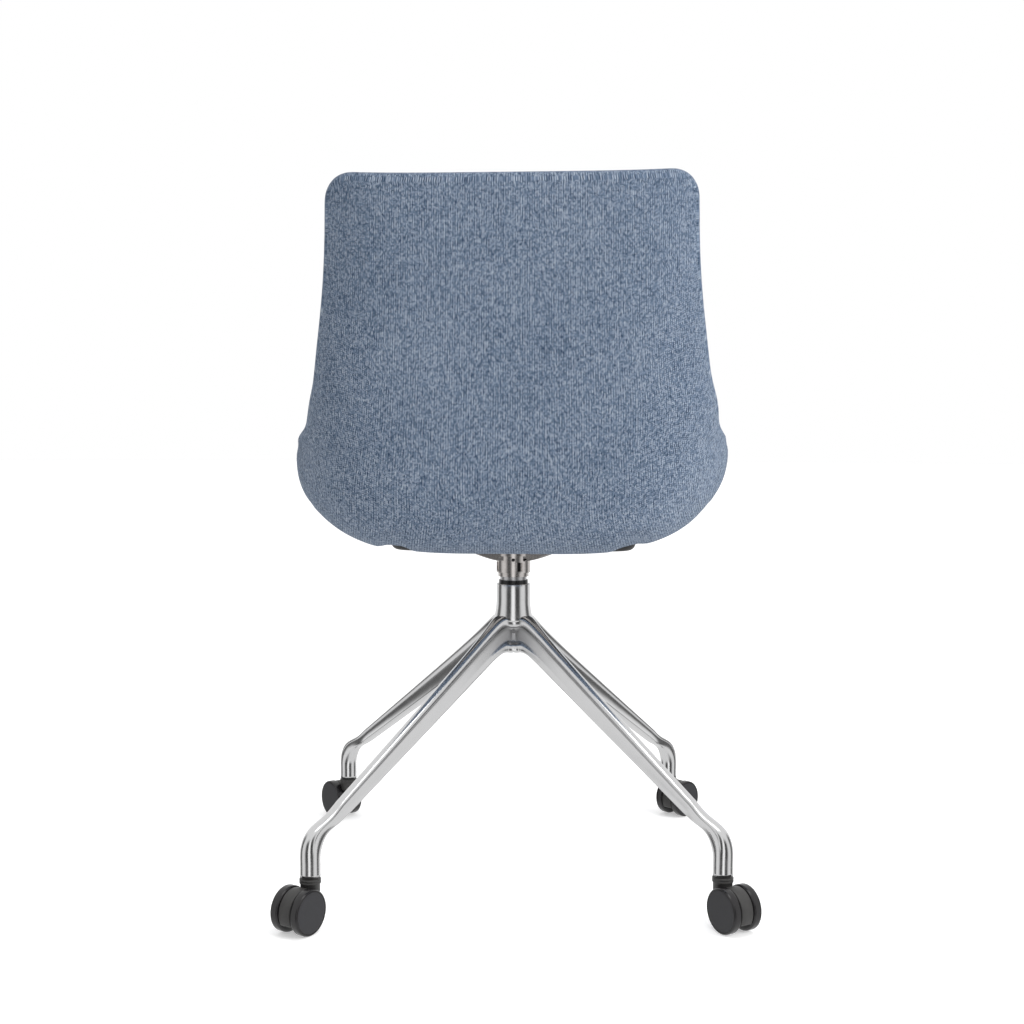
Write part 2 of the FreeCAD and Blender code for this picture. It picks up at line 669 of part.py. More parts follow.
def castor_pieces():
    """One castor at the origin, trailing along +X, its axle along Y."""
    axle_at = Vector(castor_trail, 0, wheel_radius)
    across = Vector(0, 1, 0)
    half_band = castor_band / 2
    wheel_inner = half_band + castor_side_gap

    def wheel(side):
        body = Part.makeCylinder(wheel_radius, wheel_width, axle_at, across)
        edges = [e for e in body.Edges if len(e.Vertexes) == 1]
        body = body.makeFillet(wheel_edge_radius, edges)
        bore = castor_axle_radius + running_clearance
        body = body.cut(Part.makeCylinder(bore, wheel_width - wheel_bore_wall, axle_at, across))
        dish = Part.makeCylinder(wheel_radius - wheel_rim_wall, 2 * wheel_dish_depth,
                                 axle_at + across * (wheel_width - wheel_dish_depth), across)
        body = body.cut(dish)
        if side < 0:
            body = body.mirror(axle_at, across)
        body.translate(across * (side * wheel_inner))
        return body

    band = Part.makeCylinder(hood_radius, castor_band, axle_at - across * half_band, across)
    below = Part.makeBox(4 * hood_radius, 4 * half_band, 2 * hood_radius,
                         Vector(castor_trail - 2 * hood_radius, -2 * half_band,
                                wheel_radius - hood_open_drop - 2 * hood_radius))
    hood = band.cut(below)
    hub = Part.makeCylinder(castor_axle_radius + castor_axle_boss, castor_band,
                            axle_at - across * half_band, across)
    hood = hood.fuse(hub)
    neck = disc(castor_neck_radius, castor_neck_bottom, castor_collar_bottom - castor_neck_bottom + 1)
    for side in (1, -1):
        start = axle_at + across * (side * half_band)
        neck = neck.cut(Part.makeCylinder(wheel_radius + castor_side_gap, 30, start, across * side))
    collar = disc(castor_collar_radius, castor_collar_bottom, castor_collar_height)
    lips = [e for e in collar.Edges if len(e.Vertexes) == 1]
    collar = collar.makeFillet(castor_collar_edge, lips)
    boss = disc(castor_boss_radius, castor_collar_bottom + castor_collar_height - 1, castor_boss_height + 1)
    hood = hood.fuse([neck, collar, boss]).removeSplitter()
    hood = hood.cut(disc(stem_radius + running_clearance, castor_collar_bottom - stem_reach_in_hood - stack_gap,
                         2 * wheel_radius))
    hood = hood.cut(Part.makeCylinder(castor_axle_radius, castor_band + 4,
                                      axle_at - across * (half_band + 2), across))
    axle_half = wheel_inner + wheel_width - wheel_bore_wall - castor_axle_end_gap
    axle = Part.makeCylinder(castor_axle_radius, 2 * axle_half, axle_at - across * axle_half, across)
    ends = [e for e in axle.Edges if len(e.Vertexes) == 1]
    axle = axle.makeChamfer(0.5, ends)
    return {"hood": hood, "axle": axle, "wheel_a": wheel(1), "wheel_b": wheel(-1)}


def build_castors():
    pieces = castor_pieces()
    for name, heading in castor_headings.items():
        place = stem_place(name)
        for piece, shape in pieces.items():
            copy = turned(shape, heading)
            copy.translate(place)
            save(copy, "castor_%s_%s" % (name, piece))


build_shell()
build_tray()
build_spider()
build_seat_fasteners()
build_swivel()
build_base()
build_stems()
build_castors()
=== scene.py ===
# %% [markdown]
# # A swivel office chair
# This lesson dresses a packed chair model. The frame holds the engineering parts at their real places, in
# metres, with +Z up and the sitter facing -Y. Every soft or polished piece made here is laid over that frame
# and rides on one of its bodies, so that it turns with the seat, the base or a castor.

# %% Load the frame
import math

import bmesh
import bpy
import numpy as np
from mathutils import Matrix, Vector


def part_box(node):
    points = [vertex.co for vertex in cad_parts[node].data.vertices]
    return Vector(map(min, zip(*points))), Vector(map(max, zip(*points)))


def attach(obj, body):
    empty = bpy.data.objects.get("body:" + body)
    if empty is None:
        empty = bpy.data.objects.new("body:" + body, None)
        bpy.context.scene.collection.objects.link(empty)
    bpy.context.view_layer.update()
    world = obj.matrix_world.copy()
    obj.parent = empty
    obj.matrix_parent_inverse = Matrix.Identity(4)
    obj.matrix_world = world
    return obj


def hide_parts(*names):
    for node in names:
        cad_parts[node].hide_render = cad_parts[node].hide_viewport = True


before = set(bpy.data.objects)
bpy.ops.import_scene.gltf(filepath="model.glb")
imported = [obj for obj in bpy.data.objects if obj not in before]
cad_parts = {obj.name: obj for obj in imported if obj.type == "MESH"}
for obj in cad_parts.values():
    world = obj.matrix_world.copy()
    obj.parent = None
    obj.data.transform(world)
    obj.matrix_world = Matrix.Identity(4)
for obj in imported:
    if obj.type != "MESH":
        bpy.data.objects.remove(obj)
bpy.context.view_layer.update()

# %% [markdown]
# ## Measures
# The drawing of this chair is in millimetres, so the sizes are written that way and multiplied by MM. A few
# are read back from the frame, so that the new pieces sit exactly on the old ones.

# %% Measures
MM = 0.001
scene = bpy.context.scene
scene.view_settings.view_transform = "Standard"
floor_z = 0.0
base_low, base_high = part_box("base_frame")
column_top, leg_foot_bottom = base_high.z, base_low.z
print("column top at", round(column_top, 4), "and legs' feet at", round(leg_foot_bottom, 4))

# %% [markdown]
# ## Sockets that do maths
# A procedural finish is mostly arithmetic on coordinates. Wrapping a node's output in a small class lets that
# arithmetic be written as a Python expression, and each operator adds the Math node it stands for. The
# reflected forms make 1 - mask work as well as mask - 1.

# %% A socket that does maths
class Wire:
    """The output of a shader node, with the arithmetic that a finish needs."""

    def __init__(self, finish, socket):
        self.finish, self.socket = finish, socket

    def _maths(self, operation, *values):
        return self.finish.node("ShaderNodeMath", {"operation": operation}, dict(enumerate(values)))

    def __add__(self, other):
        return self._maths("ADD", self, other)

    def __sub__(self, other):
        return self._maths("SUBTRACT", self, other)

    def __rsub__(self, other):
        return self._maths("SUBTRACT", other, self)

    def __mul__(self, other):
        return self._maths("MULTIPLY", self, other)

    def __truediv__(self, other):
        return self._maths("DIVIDE", self, other)

    def __pow__(self, other):
        return self._maths("POWER", self, other)

    def __mod__(self, other):
        return self._maths("FLOORED_MODULO", self, other)

    def __abs__(self):
        return self._maths("ABSOLUTE", self)

    __radd__, __rmul__ = __add__, __mul__

    def floor(self):
        return self._maths("FLOOR", self)

# %% A finish and its nodes
class Finish:
    """A material with one Principled shader, whose other nodes come from node()."""

    def __init__(self, name, **constants):
        self.material = bpy.data.materials.new(name)
        self.material.use_nodes = True
        self.tree = self.material.node_tree
        self.shader = self.tree.nodes["Principled BSDF"]
        for socket, value in constants.items():
            self.shader.inputs[socket.replace("_", " ")].default_value = value

    def node(self, kind, settings=None, inputs=None, out=0):
        """Adds a node: its settings first, then the values or links of its sockets."""
        made = self.tree.nodes.new(kind)
        for setting, value in (settings or {}).items():
            if setting == "stops":
                ramp = made.color_ramp
                while len(ramp.elements) < len(value):
                    ramp.elements.new(0.5)
                for element, (position, colour) in zip(ramp.elements, value):
                    element.position, element.color = position, colour
            else:
                setattr(made, setting, value)
        for socket, value in (inputs or {}).items():
            if isinstance(value, Wire):
                self.tree.links.new(value.socket, made.inputs[socket])
            else:
                made.inputs[socket].default_value = value
        return Wire(self, made.outputs[out])

    def drive(self, socket, wire):
        self.tree.links.new(wire.socket, self.shader.inputs[socket])

    def mixed(self, factor, first, second, blend="MIX"):
        """Mixes two colours; each is a Wire or four numbers."""
        settings = {"data_type": "RGBA", "blend_type": blend}
        return self.node("ShaderNodeMix", settings, {0: factor, 6: first, 7: second}, out=2)

    def vector(self, x, y, z=0.0):
        return self.node("ShaderNodeCombineXYZ", None, {0: x, 1: y, 2: z})

    def axes(self, vector):
        split = self.node("ShaderNodeSeparateXYZ", None, {0: vector})
        outputs = split.socket.node.outputs
        return [Wire(self, outputs[k]) for k in range(3)]

    def place(self):
        """The point on the piece in its own metres, which is the frame's at rest."""
        return self.node("ShaderNodeTexCoord", None, None, out=3)

    def mask(self, name):
        """A number stored on the mesh's points."""
        return self.node("ShaderNodeAttribute", {"attribute_name": name}, None, out=2)

    def stored(self, name):
        """A vector stored on the mesh's points."""
        return self.node("ShaderNodeAttribute", {"attribute_name": name}, None, out=1)

    def clouds(self, vector, scale, detail=2.0, roughness=0.5):
        settings = {"noise_dimensions": "3D"}
        inputs = {"Vector": vector, "Scale": scale, "Detail": detail, "Roughness": roughness}
        return self.node("ShaderNodeTexNoise", settings, inputs)

    def speck(self, vector):
        """A different random number for every whole-number cell."""
        return self.node("ShaderNodeTexWhiteNoise", {"noise_dimensions": "3D"}, {"Vector": vector})

    def bump(self, height, distance, strength=1.0):
        self.drive("Normal", self.node("ShaderNodeBump", None,
                                       {"Height": height, "Distance": distance, "Strength": strength}))


# %% [markdown]
# ## The upholstery cloth
# The cover is a plain weave of two-tone yarn. Seen close, each thread is round and dives under its neighbour
# every other time. Seen from a step back, the yarn's uneven dye gives short vertical streaks, which is what
# makes a melange. The weave is drawn in the cloth's own coordinates, which are stored on the mesh when it is
# cut, so the threads follow the cloth round the bend of the seat.

# %% Upholstery cloth
thread_pitch = 1.2 * MM
thread_dive = 0.55                 # how far a thread sinks at its ends, as a share of its height
picks_per_dash = 2.6               # length of one dash of dye, in crossings
yarn_dark = (0.032, 0.058, 0.108, 1)
yarn_mid = (0.160, 0.220, 0.318, 1)
yarn_pale = (0.440, 0.500, 0.590, 1)


def upholstery_cloth():
    cloth = Finish("upholstery_melange", Roughness=0.9, Sheen_Weight=0.08, Sheen_Roughness=0.45,
                   Specular_IOR_Level=0.25)
    across, along, _ = cloth.axes(cloth.stored("cloth_place"))
    column, row = across / thread_pitch, along / thread_pitch
    warp, weft = column.floor(), row.floor()
    # how far each point lies from the middle of its own thread, 0 to 1
    side_of_warp = abs(column - warp - 0.5) * 2
    side_of_weft = abs(row - weft - 0.5) * 2
    warp_on_top = (warp + weft) % 2
    # a thread is round across, and sinks towards its ends where it dives
    warp_height = (1 - side_of_warp ** 2) * (1 - thread_dive * side_of_weft ** 2)
    weft_height = (1 - side_of_weft ** 2) * (1 - thread_dive * side_of_warp ** 2)
    height = warp_on_top * warp_height + (1 - warp_on_top) * weft_height
    # dye: each warp thread changes shade every few picks, at a different place from its neighbours
    start = cloth.speck(cloth.vector(warp, 11.0, 5.0)) * 9
    dash = cloth.speck(cloth.vector(warp, (row / picks_per_dash + start).floor(), 3.0))
    soft = cloth.clouds(cloth.vector(warp * 0.83, row * 0.22 + start, 3.1), 1.0, 1.0, 0.5)
    fibre = cloth.speck(cloth.vector(warp, weft, warp_on_top))
    # every other warp thread is a little darker: painted shade that stands in for the dark gaps between the
    # weave's ribs
    rib_shade = warp % 2
    tone = 0.50 + (dash - 0.5) * 0.30 + (soft - 0.5) * 0.55 + (fibre - 0.5) * 0.46
    tone = tone + (warp_on_top - 0.5) * 0.20 + (rib_shade - 0.5) * 0.18
    drift = cloth.clouds(cloth.stored("cloth_place"), 9.0, 2.0)
    tone = tone + (drift - 0.5) * 0.18
    dyes = [(0.12, yarn_dark), (0.5, yarn_mid), (0.92, yarn_pale)]
    colour = cloth.node("ShaderNodeValToRGB", {"stops": dyes}, {0: tone})
    # painted shade: the colour is darkened where a thread dips and at its edges, besides the bump
    painted_thread_shade = 0.72 + 0.28 * height
    cloth.drive("Base Color", cloth.mixed(1.0, colour, cloth.vector(painted_thread_shade, painted_thread_shade, painted_thread_shade), "MULTIPLY"))
    cloth.drive("Roughness", 0.82 + 0.12 * fibre)
    cloth.bump(height, 0.35 * MM, 0.8)
    return cloth.material


# %% [markdown]
# ## Metals
# Polished aluminium is never a perfect mirror: the casting waves a little and polishing leaves faint cloudy
# patches, so its roughness drifts and a very low bump moves the reflections. The recesses of a casting can't
# be reached by the polishing wheel, so a mask on the mesh makes them rougher, and the same mask darkens their
# colour as painted shade. The machined hub has fine turning rings, which are noise stretched along its axis.

# %% Polished castings and turned steel
def polished_casting():
    metal = Finish("polished_cast_aluminium", Metallic=1.0)
    place = metal.place()
    cloudy = metal.clouds(place, 55.0, 3.0)
    fine = metal.clouds(place, 900.0, 2.0)
    recess = metal.mask("recess")
    pale, darker_tone = (0.74, 0.74, 0.745, 1), (0.26, 0.26, 0.265, 1)
    # painted shade: the recess mask mixes the pale metal towards a darker grey in the cove and on the web
    metal.drive("Base Color", metal.mixed(recess * (0.55 + 0.3 * cloudy), pale, darker_tone))
    metal.drive("Roughness", 0.10 + 0.12 * cloudy + 0.05 * fine + 0.22 * recess)
    metal.bump(metal.clouds(place, 38.0, 2.0) + 0.04 * fine, 0.5 * MM, 0.35)
    return metal.material


def turned_steel(name, colour, roughness, ring_pitch=0.35 * MM, window_shade_radius=0.0):
    metal = Finish(name, Metallic=1.0)
    place = metal.place()
    x, y, height = metal.axes(place)
    rings = metal.clouds(metal.vector(0.0, 0.0, height / ring_pitch), 1.0, 1.0)
    cloudy = metal.clouds(place, 120.0, 2.0)
    darker_tone = tuple(0.72 * c for c in colour[:3]) + (1,)
    from_axis = (x * x + y * y) ** 0.5
    # painted shade: within this radius, inside the hub's windows, the colour is painted near-black
    inside = metal.node("ShaderNodeMath", {"operation": "LESS_THAN"}, {0: from_axis, 1: window_shade_radius})
    turned = metal.mixed(cloudy * 0.6, colour, darker_tone)
    metal.drive("Base Color", metal.mixed(inside, turned, (0.035, 0.033, 0.032, 1)))
    metal.drive("Roughness", roughness + 0.10 * rings + 0.08 * cloudy)
    metal.bump(rings, 0.05 * MM, 0.3)
    return metal.material


# %% [markdown]
# ## Black plastics
# Moulded nylon copies the mould it came from. A spark-eroded mould leaves a pebbled grain, which cells of
# smooth Voronoi noise imitate, and handling leaves scuffs that are a little paler and rougher. The wheels
# have a shiny rolled tread and a matte face, so a mask stored on their points blends between the two.

# %% Black plastics
def moulded_plastic(name, colour, roughness, grain=0.9 * MM, depth=0.05 * MM):
    plastic = Finish(name, Specular_IOR_Level=0.45)
    place = plastic.place()
    pebble = plastic.node("ShaderNodeTexVoronoi", {"feature": "SMOOTH_F1"},
                          {"Vector": place, "Scale": 1.0 / grain})
    scuff = plastic.clouds(place, 140.0, 4.0, 0.65)
    worn = tuple(1.5 * c + 0.004 for c in colour[:3]) + (1,)
    plastic.drive("Base Color", plastic.mixed(scuff * 0.5, colour, worn))
    plastic.drive("Roughness", roughness + 0.14 * (scuff - 0.4))
    plastic.bump(pebble, depth, 0.6)
    return plastic.material


def wheel_plastic():
    plastic = Finish("castor_wheel_nylon", Specular_IOR_Level=0.6)
    place = plastic.place()
    face = plastic.mask("face")
    scuff = plastic.clouds(place, 160.0, 4.0, 0.65)
    grain = plastic.clouds(place, 2600.0, 1.0)
    rolled, matte = (0.009, 0.008, 0.009, 1), (0.034, 0.034, 0.038, 1)
    plastic.drive("Base Color", plastic.mixed(face * (0.8 + 0.2 * scuff), rolled, matte))
    plastic.drive("Roughness", 0.16 + 0.08 * scuff + 0.41 * face)
    plastic.bump(grain * face + 0.15 * scuff, 0.06 * MM, 0.5)
    return plastic.material


# %% Put the finishes on a shelf
finishes = {
    "cloth": upholstery_cloth(),
    "casting": polished_casting(),
    "hub": turned_steel("turned_hub_steel", (0.70, 0.665, 0.645, 1), 0.16, 0.35 * MM, 18.93 * MM),
    "steel": turned_steel("bright_steel", (0.60, 0.60, 0.61, 1), 0.24),
    "oxide": turned_steel("black_oxide_steel", (0.035, 0.035, 0.037, 1), 0.38),
    "wheel": wheel_plastic(),
    "hood": moulded_plastic("castor_hood_nylon", (0.040, 0.039, 0.038, 1), 0.44),
    "tray": moulded_plastic("tray_moulding", (0.010, 0.010, 0.011, 1), 0.50, 1.4 * MM, 0.08 * MM),
    "bush": moulded_plastic("acetal_bush", (0.008, 0.008, 0.009, 1), 0.30),
    "inner": moulded_plastic("inner_moulding", (0.09, 0.09, 0.09, 1), 0.55, 1.6 * MM),
}
print("finishes:", ", ".join(finishes))

# %% [markdown]
# ## Parts that keep their own shape
# The spider, the swivel pieces and the tray are already right in the frame. They only change their finish.

# %% Dress the frame's own parts
corners = ("rear_left", "rear_right", "front_left", "front_right")
kept_parts = {
    "hub": ["spider"],
    "steel": ["seat_screws", "tee_nuts", "thrust_washer", "spindle", "retaining_washer", "castor_stems",
              "grip_rings"] + ["castor_%s_axle" % corner for corner in corners],
    "oxide": ["hub_grub_screws", "retaining_screw"],
    "bush": ["upper_bush", "lower_bush", "castor_sockets"],
    "tray": ["under_tray"],
    "inner": ["seat_shell"],
}
for finish, nodes in kept_parts.items():
    for node in nodes:
        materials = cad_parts[node].data.materials
        materials.clear()
        materials.append(finishes[finish])
print("dressed", sum(len(nodes) for nodes in kept_parts.values()), "frame parts")

# %% [markdown]
# ## Meshes from numbers
# Each new piece is worked out as arrays of points, because a formula gives clean rows of faces that bend and
# shine evenly. One helper turns the points into an object with its finish. Once its shape is final,
# each piece is told which body it rides on.

# %% From points to a piece
def make_piece(name, points, faces, finish, masks=None):
    """A smooth piece in its finish, with the numbers or vectors in masks on its points."""
    mesh = bpy.data.meshes.new(name)
    mesh.from_pydata([tuple(p) for p in points], [], faces)
    for mask, values in (masks or {}).items():
        values = np.asarray(values, np.float32)
        kind = "FLOAT" if values.ndim == 1 else "FLOAT_VECTOR"
        layer = mesh.attributes.new(mask, kind, "POINT")
        layer.data.foreach_set("value" if values.ndim == 1 else "vector", values.ravel())
    mesh.shade_smooth()
    piece = bpy.data.objects.new(name, mesh)
    scene.collection.objects.link(piece)
    mesh.materials.append(finishes[finish])
    return piece


def read_vectors(items, what):
    """One vector of each vertex or attribute value, as rows."""
    flat = np.empty(len(items) * 3, np.float32)
    items.foreach_get(what, flat)
    return flat.reshape(-1, 3)


def read_points(mesh):
    return read_vectors(mesh.vertices, "co").astype(float)


def write_points(mesh, points):
    mesh.vertices.foreach_set("co", np.asarray(points, np.float32).ravel())
    mesh.update()


def subdivide(piece, levels):
    """Splits the faces into finer, smoother ones, and keeps the result."""
    modifier = piece.modifiers.new("subdivide", "SUBSURF")
    modifier.levels = modifier.render_levels = levels
    graph = bpy.context.evaluated_depsgraph_get()
    made = bpy.data.meshes.new_from_object(piece.evaluated_get(graph), depsgraph=graph)
    piece.modifiers.clear()
    old, piece.data = piece.data, made
    bpy.data.meshes.remove(old)
    made.name = piece.name
    made.shade_smooth()


# %% [markdown]
# ## The shell's surface
# The whole seat and back is one curved sheet. Ten stations run from the front lip to the top edge. Each one
# says where the middle and the edge of the sheet are, and how far the section curls up between them. A
# natural spline joins the stations, as a bent batten would.

# %% Stations of the shell
seat_underside = 402.0
seat_half_width = 260.5
STATIONS = [
    # y_mid  rise_mid  narrower  y_edge  rise_edge  turn  thick
    (-236.0, 42.0, 50.5, -226.0, 61.0, 60.0, 30.0),    # front lip
    (-196.0, 20.0, 19.5, -186.0, 83.0, 80.0, 40.0),    # front of the seat
    (-100.0, 11.5, 4.5, -100.0, 112.0, 96.0, 47.0),    # thighs
    (10.0, 9.0, 0.0, -14.0, 131.0, 100.0, 49.0),       # middle of the seat
    (100.0, 0.0, 6.0, 62.0, 139.0, 96.0, 49.0),        # rear of the seat
    (166.0, 21.0, 22.0, 118.0, 151.0, 86.0, 44.0),     # bend
    (200.0, 85.0, 35.5, 158.0, 186.0, 72.0, 39.0),     # low back
    (218.0, 194.0, 46.0, 188.0, 254.0, 60.0, 36.0),    # lumbar
    (234.0, 314.0, 54.5, 208.0, 340.0, 52.0, 32.0),    # upper back
    (246.0, 415.0, 57.5, 222.0, 423.0, 48.0, 26.0),    # top edge
]
rim_thickness = 25.0 * MM
rim_share_power = 5
section_power = 4.0
top_corner_radius = 34.0 * MM
front_corner_radius = 60.0 * MM


def spline_through(knots, values):
    """The natural cubic spline through the values, as a function of the knots' coordinate."""
    count, gaps = len(knots), np.diff(knots)
    matrix, right = np.eye(count), np.zeros(count)
    for i in range(1, count - 1):
        matrix[i, i - 1:i + 2] = gaps[i - 1], 2 * (gaps[i - 1] + gaps[i]), gaps[i]
        right[i] = 6 * ((values[i + 1] - values[i]) / gaps[i] - (values[i] - values[i - 1]) / gaps[i - 1])
    bend = np.linalg.solve(matrix, right)

    def value(s):
        i = np.clip(np.searchsorted(knots, s) - 1, 0, count - 2)
        b = (s - knots[i]) / gaps[i]
        a = 1 - b
        curve = ((a ** 3 - a) * bend[i] + (b ** 3 - b) * bend[i + 1]) * gaps[i] ** 2 / 6
        return a * values[i] + b * values[i + 1] + curve

    return value


shaped = np.array([(y_mid, seat_underside + rise_mid, seat_half_width - narrower, y_edge,
                    seat_underside + rise_edge, turn / MM, thick)
                   for y_mid, rise_mid, narrower, y_edge, rise_edge, turn, thick in STATIONS]) * MM
steps = np.hypot(np.diff(shaped[:, 0]), np.diff(shaped[:, 1]))
knots = np.concatenate([[0.0], np.cumsum(steps)])
profile_length = knots[-1]
y_mid, z_mid, x_edge, y_edge, z_edge, turn_at, thick_at = [
    spline_through(knots, shaped[:, k]) for k in range(shaped.shape[1])]
print("cloth length along the middle:", round(profile_length, 3), "m")


# %% Points on the shell
def skin(t, s):
    """The outer skin: t runs -1..1 across, s in metres along the middle from the front lip."""
    across, angle = np.abs(t), np.radians(turn_at(s))
    swing = angle * across ** (section_power / 2)
    width = (np.sin(swing) / np.sin(angle)) ** (2 / section_power)
    rise = (1 - np.cos(swing)) / (1 - np.cos(angle))
    x = np.sign(t) * x_edge(s) * width
    y = y_mid(s) + (y_edge(s) - y_mid(s)) * rise
    z = z_mid(s) + (z_edge(s) - z_mid(s)) * rise
    return np.stack([x, y, z], -1)


def skin_normal(t, s):
    """Unit normal of the skin, towards the sitter."""
    dt, ds = 2e-3, 0.5 * MM
    s = np.clip(s, ds, profile_length - ds)
    across = skin(t + dt, s) - skin(t - dt, s)
    along = skin(t, s + ds) - skin(t, s - ds)
    normal = np.cross(across, along)
    return normal / np.linalg.norm(normal, axis=-1, keepdims=True)


def padded_thickness(t, s):
    return rim_thickness + (thick_at(s) - rim_thickness) * (1 - np.clip(np.abs(t), 0, 1) ** rim_share_power)


def on_shell(x, s, depth):
    """The point at a sideways distance x and a length s, at a depth in from the outer skin."""
    t = x / x_edge(s)
    return skin(t, s) + skin_normal(t, s) * np.asarray(depth)[..., None]


print("bottom of the shell at", round(float(skin(0.0, knots[4])[2]), 3), "m")

# %% [markdown]
# ## Cutting the cloth
# A cover is cut as a rounded rectangle and pulled over the padded rim. The mesh is made the same way: a grid
# fills the rounded rectangle, and rings carry its border round the rim. Filling the grid from its four
# borders keeps the rows even, and every point remembers where it lies on the flat cloth, for the weave.

# %% The border at any distance inside the edge
def resampled(path, count):
    length = np.concatenate([[0], np.cumsum(np.linalg.norm(np.diff(path, axis=0), axis=1))])
    places = np.linspace(0, length[-1], count + 1)
    return np.stack([np.interp(places, length, path[:, k]) for k in range(2)], -1)


def border(inset, columns, rows):
    """The four sides of the rounded outline: front, right, top and left, as (x, s)."""
    def corner(radius, turn, at_top):
        turn = np.radians(turn)
        radius = max(radius - inset, 1 * MM)
        s = inset + radius * (1 - np.sin(turn))
        s = profile_length - s if at_top else s
        return np.stack([x_edge(s) - inset - radius * (1 - np.cos(turn)), s], -1)

    half_turn = np.linspace(45, 90, 12)
    front = corner(front_corner_radius, half_turn, False)
    front = np.concatenate([front * (-1, 1), front[::-1]])
    top = corner(top_corner_radius, half_turn, True)
    top = np.concatenate([top * (-1, 1), top[::-1]])
    low = corner(front_corner_radius, half_turn[::-1] - 45, False)
    high = corner(top_corner_radius, half_turn - 45, True)
    middle = np.linspace(low[-1, 1], high[0, 1], 80)[1:-1]
    side = np.concatenate([low, np.stack([x_edge(middle) - inset, middle], -1), high])
    right = resampled(side, rows)
    return resampled(front, columns), right, resampled(top, columns), right * (-1, 1)


def loop_of(sides):
    front, right, top, left = sides
    return np.concatenate([front[:-1], right[:-1], top[::-1][:-1], left[::-1][:-1]])


def filled(sides):
    """A grid between four borders."""
    front, right, top, left = sides
    u = np.linspace(0, 1, len(front))[None, :, None]
    v = np.linspace(0, 1, len(right))[:, None, None]
    lofted = (1 - v) * front[None] + v * top[None] + (1 - u) * left[:, None] + u * right[:, None]
    corners = (1 - v) * ((1 - u) * front[0] + u * front[-1]) + v * ((1 - u) * top[0] + u * top[-1])
    return lofted - corners


# %% [markdown]
# ## Closing a pad
# Foam under cloth is a closed body, and so is its mesh: a front grid, a hidden back grid, and the rings that
# join their borders. Building the faces by number, and not by filling holes, gives four-sided faces that
# subdivide and simulate evenly.

# %% A closed pad from two grids and the rings between them
def closed_pad(front, rings, back):
    """Points and faces; front and back are grids of points, rings are loops from front to back."""
    rows, columns = front.shape[0] - 1, front.shape[1] - 1
    number = np.arange(front.shape[0] * front.shape[1]).reshape(front.shape[:2])
    count = number.size

    def border_of(grid):
        return np.concatenate([grid[0, :-1], grid[:-1, -1], grid[-1, :0:-1], grid[:0:-1, 0]])

    points = [front.reshape(-1, front.shape[-1])]
    loops = [border_of(number)]
    for ring in rings:
        loops.append(count + np.arange(len(ring)))
        count += len(ring)
        points.append(ring)
    back_number = number + count
    points.append(back.reshape(-1, back.shape[-1]))
    loops.append(border_of(back_number))
    faces = []
    for i in range(rows):
        for j in range(columns):
            faces.append((number[i, j], number[i, j + 1], number[i + 1, j + 1], number[i + 1, j]))
            faces.append((back_number[i, j], back_number[i + 1, j], back_number[i + 1, j + 1],
                          back_number[i, j + 1]))
    for inner, outer in zip(loops, loops[1:]):
        for a in range(len(inner)):
            b = (a + 1) % len(inner)
            faces.append((outer[a], outer[b], inner[b], inner[a]))
    return np.concatenate(points), [tuple(int(k) for k in face) for face in faces]


# %% [markdown]
# ## The two covers
# The rim is rounded like a bolster. The seam where the sitter's cover meets the outer cover runs round the
# outside of that rim, a little nearer the back, so from behind a thin band of the sitter's cover shows along
# the wings. Both covers roll into the seam, which leaves a fine groove.

# %% Sections round the rim
cover_columns, cover_rows = 54, 84
seam_depth = 6.8 * MM
rear_roll = 7.5 * MM               # the rim is tighter at the back than on the sitter's side
rim_radius = rim_thickness - rear_roll
back_fullness = 3.0 * MM
shell_front_depth = 14.6 * MM      # just in front of the moulded shell
shell_rear_depth = 5.7 * MM        # just behind it


def rim_place(turn):
    """(inset, depth) round the rim: 0 degrees on the sitter's side, 180 at the back."""
    turn = math.radians(turn)
    radius = rim_radius if turn < math.pi / 2 else rear_roll
    return radius * (1 - math.sin(turn)), rear_roll + radius * math.cos(turn)


seam_turn = math.degrees(math.acos((seam_depth - rear_roll) / rear_roll))
seam_inset = rim_place(seam_turn)[0]
print("the seam lies", round(seam_turn), "degrees round the rim")


def pulled_out(flat):
    """Foam makes the rim of the back a little fuller than the drawing, most at the very edge."""
    x, s = flat[..., 0], flat[..., 1]
    near_side = np.clip(1 - (x_edge(s) - np.abs(x)) / (40 * MM), 0, 1) ** 2
    near_top = np.clip(1 - (profile_length - s) / (40 * MM), 0, 1) ** 2
    back = np.clip((s - 0.42) / 0.06, 0, 1)
    return flat + back_fullness * back[..., None] * np.stack([np.sign(x) * near_side, near_top], -1)


def shell_grid(inset, depth):
    """A grid of points and their cloth places; depth is a function of (x, s)."""
    flat = pulled_out(filled(border(inset, cover_columns, cover_rows)))
    return np.concatenate([on_shell(flat[..., 0], flat[..., 1], depth(flat[..., 0], flat[..., 1])), flat], -1)


def shell_ring(inset, depth, roll=rim_radius, round_rim=0.0):
    """One ring; its cloth place is measured round the rim, so that the weave isn't squeezed there."""
    flat = pulled_out(loop_of(border(inset, cover_columns, cover_rows)))
    points = on_shell(flat[:, 0], flat[:, 1], np.full(len(flat), depth))
    start = loop_of(border(roll, cover_columns, cover_rows))
    edge = loop_of(border(0, cover_columns, cover_rows))
    outwards = (edge - start) / np.linalg.norm(edge - start, axis=1, keepdims=True)
    return np.concatenate([points, start + outwards * round_rim], -1)


def front_depth(x, s):
    return padded_thickness(x / x_edge(s), s)


